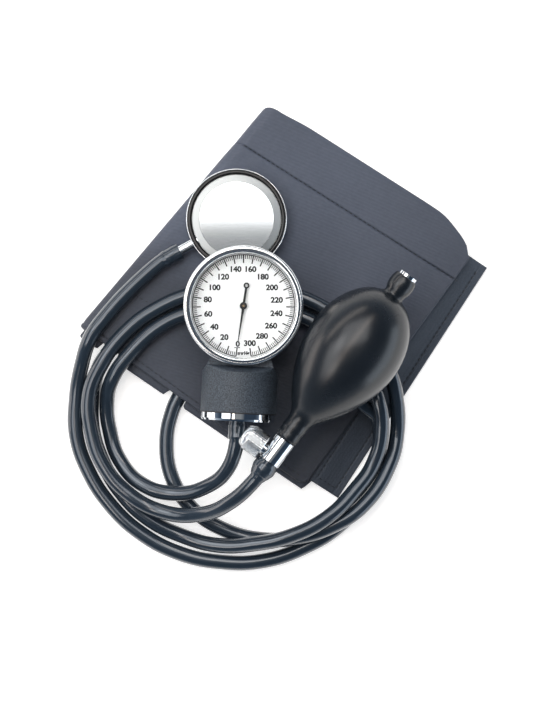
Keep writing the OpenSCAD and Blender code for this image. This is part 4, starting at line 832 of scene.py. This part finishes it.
# Moulded rubber comes out of its mould blacker and softer in its shine than the hoses
bulb_rubber, tree, shader = new_material("moulded_bulb_rubber", Roughness=0.28, IOR=1.52)
film = patches(tree, 22, 5, 0.55)
finish(tree, shader, film, "#14191f", "#1c2229")
patchy = add(tree, "MapRange", {"Value": film, "From Min": 0.3, "From Max": 0.7,
                                "To Min": 0.25, "To Max": 0.28})
tree.links.new(patchy.outputs["Result"], shader.inputs["Roughness"])
finish(tree, shader, patches(tree, 0.9, 3), depth_mm=0.003)
bulb_skin = lathe("bulb_skin", bulb_profile, bulb_place, bulb_rubber, "kit", 96)
smooth = bulb_skin.modifiers.new("smooth", "SUBSURF")
smooth.levels = smooth.render_levels = 1
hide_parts("bulb")


# Release knob: turned brass with three grooves, finely knurled between them, with a domed end, in
# satin chrome plate. It is pressed on the end of the release needle.
knob_axis = Vector(joints["release_knob_turn"]["axis"]).normalized()
knob_place = standing_on(knob_foot, knob_axis)
KNOB_R = 6.6
GROOVES = (8.9, 11.1, 13.3)
KNURLS = 40
knob_profile = [(3.4, 9.8), (3.4, 6.5), (6.0, 6.5), (6.3, 6.6), (KNOB_R, 6.95), (KNOB_R, 8.5)]
for groove in GROOVES:
    knob_profile += [(KNOB_R, groove - 0.3), (KNOB_R - 0.3, groove - 0.12), (KNOB_R - 0.3, groove + 0.12),
                     (KNOB_R, groove + 0.3), (KNOB_R, groove + 1.3)]
knob_profile += [(KNOB_R, 15.2), (6.45, 15.45), (6.1, 15.6), (5.7, 16.6), (5.0, 17.6), (4.1, 18.25),
                 (2.6, 18.4), (0.01, 18.4)]
KNURL_H, END_WAVE_H = 0.07, 0.06


def knurl(r, h, a):
    """Height of the knurl on the knob's side, and of wider waves on its grooves and end."""
    if r > KNOB_R - 0.1:
        return KNURL_H * math.cos(KNURLS * a)
    return END_WAVE_H * math.cos(KNURLS * a / 4) * min(1, r / 4)


knob_shell = lathe("release_knob_shell", knob_profile, knob_place, satin_chrome, "knob_body", 240, knurl,
                   sharp=25)
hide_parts("release_knob")


# Chest piece: a turned alloy body, a chrome lip that holds the diaphragm, a rubber ring against
# the chill and a polished disc, pressed into one another
chest_low, chest_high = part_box("chest_disc")
chest_middle = (chest_low + chest_high) / 2
chest_place = Matrix.Translation((chest_middle.x, chest_middle.y, 0))
DISC_R, DISC_TOP, TOOL_RING_MM = 18.55, 20.6, 0.35

# A fine turned surface blurs what the alloy mirrors to a pale grey
alloy, tree, shader = new_material("satin_turned_alloy", Metallic=1, Roughness=0.58)
finish(tree, shader, patches(tree, 0.5), "#c4c8c8", "#dadddd")
dress(alloy, "chest_body")

# Lip: a ring spun from thin brass, in bright chrome. It is rolled round the body's edge and holds
# the chill ring at the top and the diaphragm below.
chest_lip = lathe("chest_lip", [(22, 12.3), (22, 11.9), (24.6, 11.9), (24.9, 12.05), (25, 12.4), (25, 18.2),
                                (24.95, 18.5), (24.8, 18.7), (24.6, 18.75), (24.45, 18.6), (24.42, 18.2),
                                (24.42, 17), (24.02, 17), (24.02, 12.3)],
                  chest_place, chrome, "kit", 160, sharp=60, ring=True)
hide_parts("chest_rim")

# Disc: a thin plate of aluminium, pressed on the body. It is turned and polished to a mirror, in
# which the tool leaves very fine rings.
polished, tree, shader = new_material("polished_aluminium_disc", Metallic=1, Roughness=0.06)
from_middle = add(tree, "VectorMath", {0: add(tree, "TexCoord").outputs["Object"], 1: chest_middle},
                  operation="SUBTRACT")
level_way = add(tree, "VectorMath", {0: from_middle.outputs["Vector"], 1: (1, 1, 0)}, operation="MULTIPLY")
out_r = add(tree, "VectorMath", {0: level_way.outputs["Vector"]}, operation="LENGTH").outputs["Value"]
in_rings = add(tree, "Math", {0: out_r, 1: 1 / (TOOL_RING_MM * MM)}, operation="MULTIPLY").outputs["Value"]
tool_rings = add(tree, "TexNoise", {"W": in_rings, "Scale": 1, "Detail": 2}, noise_dimensions="1D")
finish(tree, shader, tool_rings.outputs["Fac"], "#d9dcdd", "#f0f2f3", 0.0003)
chest_face = lathe("chest_face", [(0.01, DISC_TOP - 0.6), (DISC_R, DISC_TOP - 0.6), (DISC_R, DISC_TOP - 0.06),
                                  (DISC_R - 0.1, DISC_TOP), (DISC_R - 0.3, DISC_TOP), (12, DISC_TOP),
                                  (6, DISC_TOP), (0.01, DISC_TOP)],
                   chest_place, polished, "kit", 160, sharp=20)
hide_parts("chest_disc")

# Chill ring: moulded black rubber with a rounded top that catches one thin line of light. It is
# stretched into the lip.
ring_rubber, tree, shader = new_material("moulded_chill_ring_rubber", Roughness=0.26, IOR=1.5)
finish(tree, shader, patches(tree, 3, 3), "#060709", "#0e0f12", 0.02)
chill_ring = lathe("chill_ring", [(22.2, 17.1), (24.4, 17.1), (24.4, 18.3), (24.2, 18.75), (23.8, 19.05),
                                  (23.3, 19.15), (22.8, 19.05), (22.4, 18.8), (22.2, 18.4)],
                   chest_place, ring_rubber, "kit", 160, sharp=60, ring=True)
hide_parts("chest_ring")

# Diaphragm: a disc punched from stiff polyester film, which is milky and smooth. The lip holds it
# below the body, where it doesn't show from above.
film_plastic, tree, shader = new_material("polyester_diaphragm_film", Roughness=0.3, IOR=1.57)
finish(tree, shader, patches(tree, 1), "#e0e0da", "#ecece6", 0.01)
dress(film_plastic, "chest_diaphragm")


# Table and light: a sheet of white paper in a dim slate room. A wide soft box hangs overhead beyond
# the top of the picture and a smaller one on the left, with strips over the bulb, far away and low
# down on both sides.
def seen_by(tree):
    """One for rays that show a surface, straight or in a mirror or glass, and none for the rest."""
    ray = add(tree, "LightPath")
    either = add(tree, "Math", {0: ray.outputs["Is Camera Ray"], 1: ray.outputs["Is Glossy Ray"]},
                 operation="MAXIMUM")
    return add(tree, "Math", {0: either.outputs["Value"], 1: ray.outputs["Is Transmission Ray"]},
               operation="MAXIMUM").outputs["Value"]


paper, tree, shader = new_material("white_paper", Roughness=0.9)
shader.inputs["Base Color"].default_value = linear("#e8e8e8")
finish(tree, shader, patches(tree, 2), depth_mm=0.01)
lift = add(tree, "Math", {0: seen_by(tree), 1: 0.64}, operation="MULTIPLY")
shader.inputs["Emission Color"].default_value = (1, 1, 1, 1)
tree.links.new(lift.outputs["Value"], shader.inputs["Emission Strength"])
FLOOR_HALF = 3
TABLE_Z = -0.0002
mesh = bpy.data.meshes.new("table")
corners = [(side * FLOOR_HALF, up * FLOOR_HALF, TABLE_Z) for side, up in ((-1, -1), (1, -1), (1, 1), (-1, 1))]
mesh.from_pydata(corners, [], [(0, 1, 2, 3)])
mesh.materials.append(paper)
table = bpy.data.objects.new("table", mesh)
scene.collection.objects.link(table)

# Room, as mirrors show it: slate walls that pale towards the table, and a grey ceiling. To the
# camera the room is white.
world = bpy.data.worlds.new("studio")
scene.world = world
world.use_nodes = True
tree = world.node_tree
height = add(tree, "SeparateXYZ", {0: add(tree, "TexCoord").outputs["Generated"]}).outputs["Z"]
room = add(tree, "ValToRGB", {0: height})
ramp = room.color_ramp
ramp.elements[0].color = linear("#bcc6d2")
ramp.elements[1].color = linear("#8f9294")
for position, tone in ((0.3, "#6c7a8a"), (0.55, "#33404f"), (0.93, "#33404f"), (0.99, "#8f9294")):
    ramp.elements.new(position).color = linear(tone)
ray = add(tree, "LightPath")
in_mirror = add(tree, "Math", {0: ray.outputs["Is Glossy Ray"], 1: ray.outputs["Is Transmission Ray"]},
                operation="MAXIMUM").outputs["Value"]
tone = add(tree, "Mix", {"Factor": in_mirror, "A": linear("#ffffff"), "B": room.outputs["Color"]},
           data_type="RGBA").outputs["Result"]
level = add(tree, "MapRange", {"Value": seen_by(tree), "To Min": 0.12, "To Max": 1})
tree.links.new(tone, tree.nodes["Background"].inputs["Color"])
tree.links.new(level.outputs["Result"], tree.nodes["Background"].inputs["Strength"])


def soft_box(name, place, aim, width, height, radiance, long_way=(1, 0, 0), tint="#ffffff"):
    """An area lamp that gives the same light from each point of its face."""
    lamp = bpy.data.lights.new(name, "AREA")
    lamp.shape = "RECTANGLE"
    lamp.size, lamp.size_y = width, height
    lamp.energy = radiance * math.pi * width * height
    lamp.color = linear(tint)[:3]
    out = (Vector(place) - Vector(aim)).normalized()
    side = (Vector(long_way) - out * out.dot(Vector(long_way))).normalized()
    lamp_object = bpy.data.objects.new(name, lamp)
    turn = Matrix((side, out.cross(side), out)).transposed().to_4x4()
    lamp_object.matrix_world = Matrix.Translation(place) @ turn
    lamp_object.visible_camera = False
    scene.collection.objects.link(lamp_object)


soft_box("overhead_box", (-0.35, 0.95, 1.8), (-0.35, 0.95, 0), 2, 1.68, 2.4)
soft_box("side_box", (-0.95, -0.1, 1.15), (-0.95, -0.1, 0), 0.9, 1.2, 2.5)
soft_box("far_strip", (-0.45, 0.75, 0.5), (0, 0, 0), 1.2, 0.14, 4, (0.86, 0.5, 0), "#fff4ea")
soft_box("bulb_strip", (-0.117, 0.094, 0.9), (0.03, -0.03, 0), 2, 0.09, 4, (-0.597, -0.801, 0), "#ffeede")
soft_box("left_strip", (-0.7, 0.1, 0.12), (0, 0, 0.03), 0.5, 0.15, 3, (0, 1, 0), "#fff0e4")
soft_box("right_strip", (0.6, -0.25, 0.15), (0, 0, 0.03), 0.8, 0.25, 2, (0.4, 1, 0), "#e6f1fb")
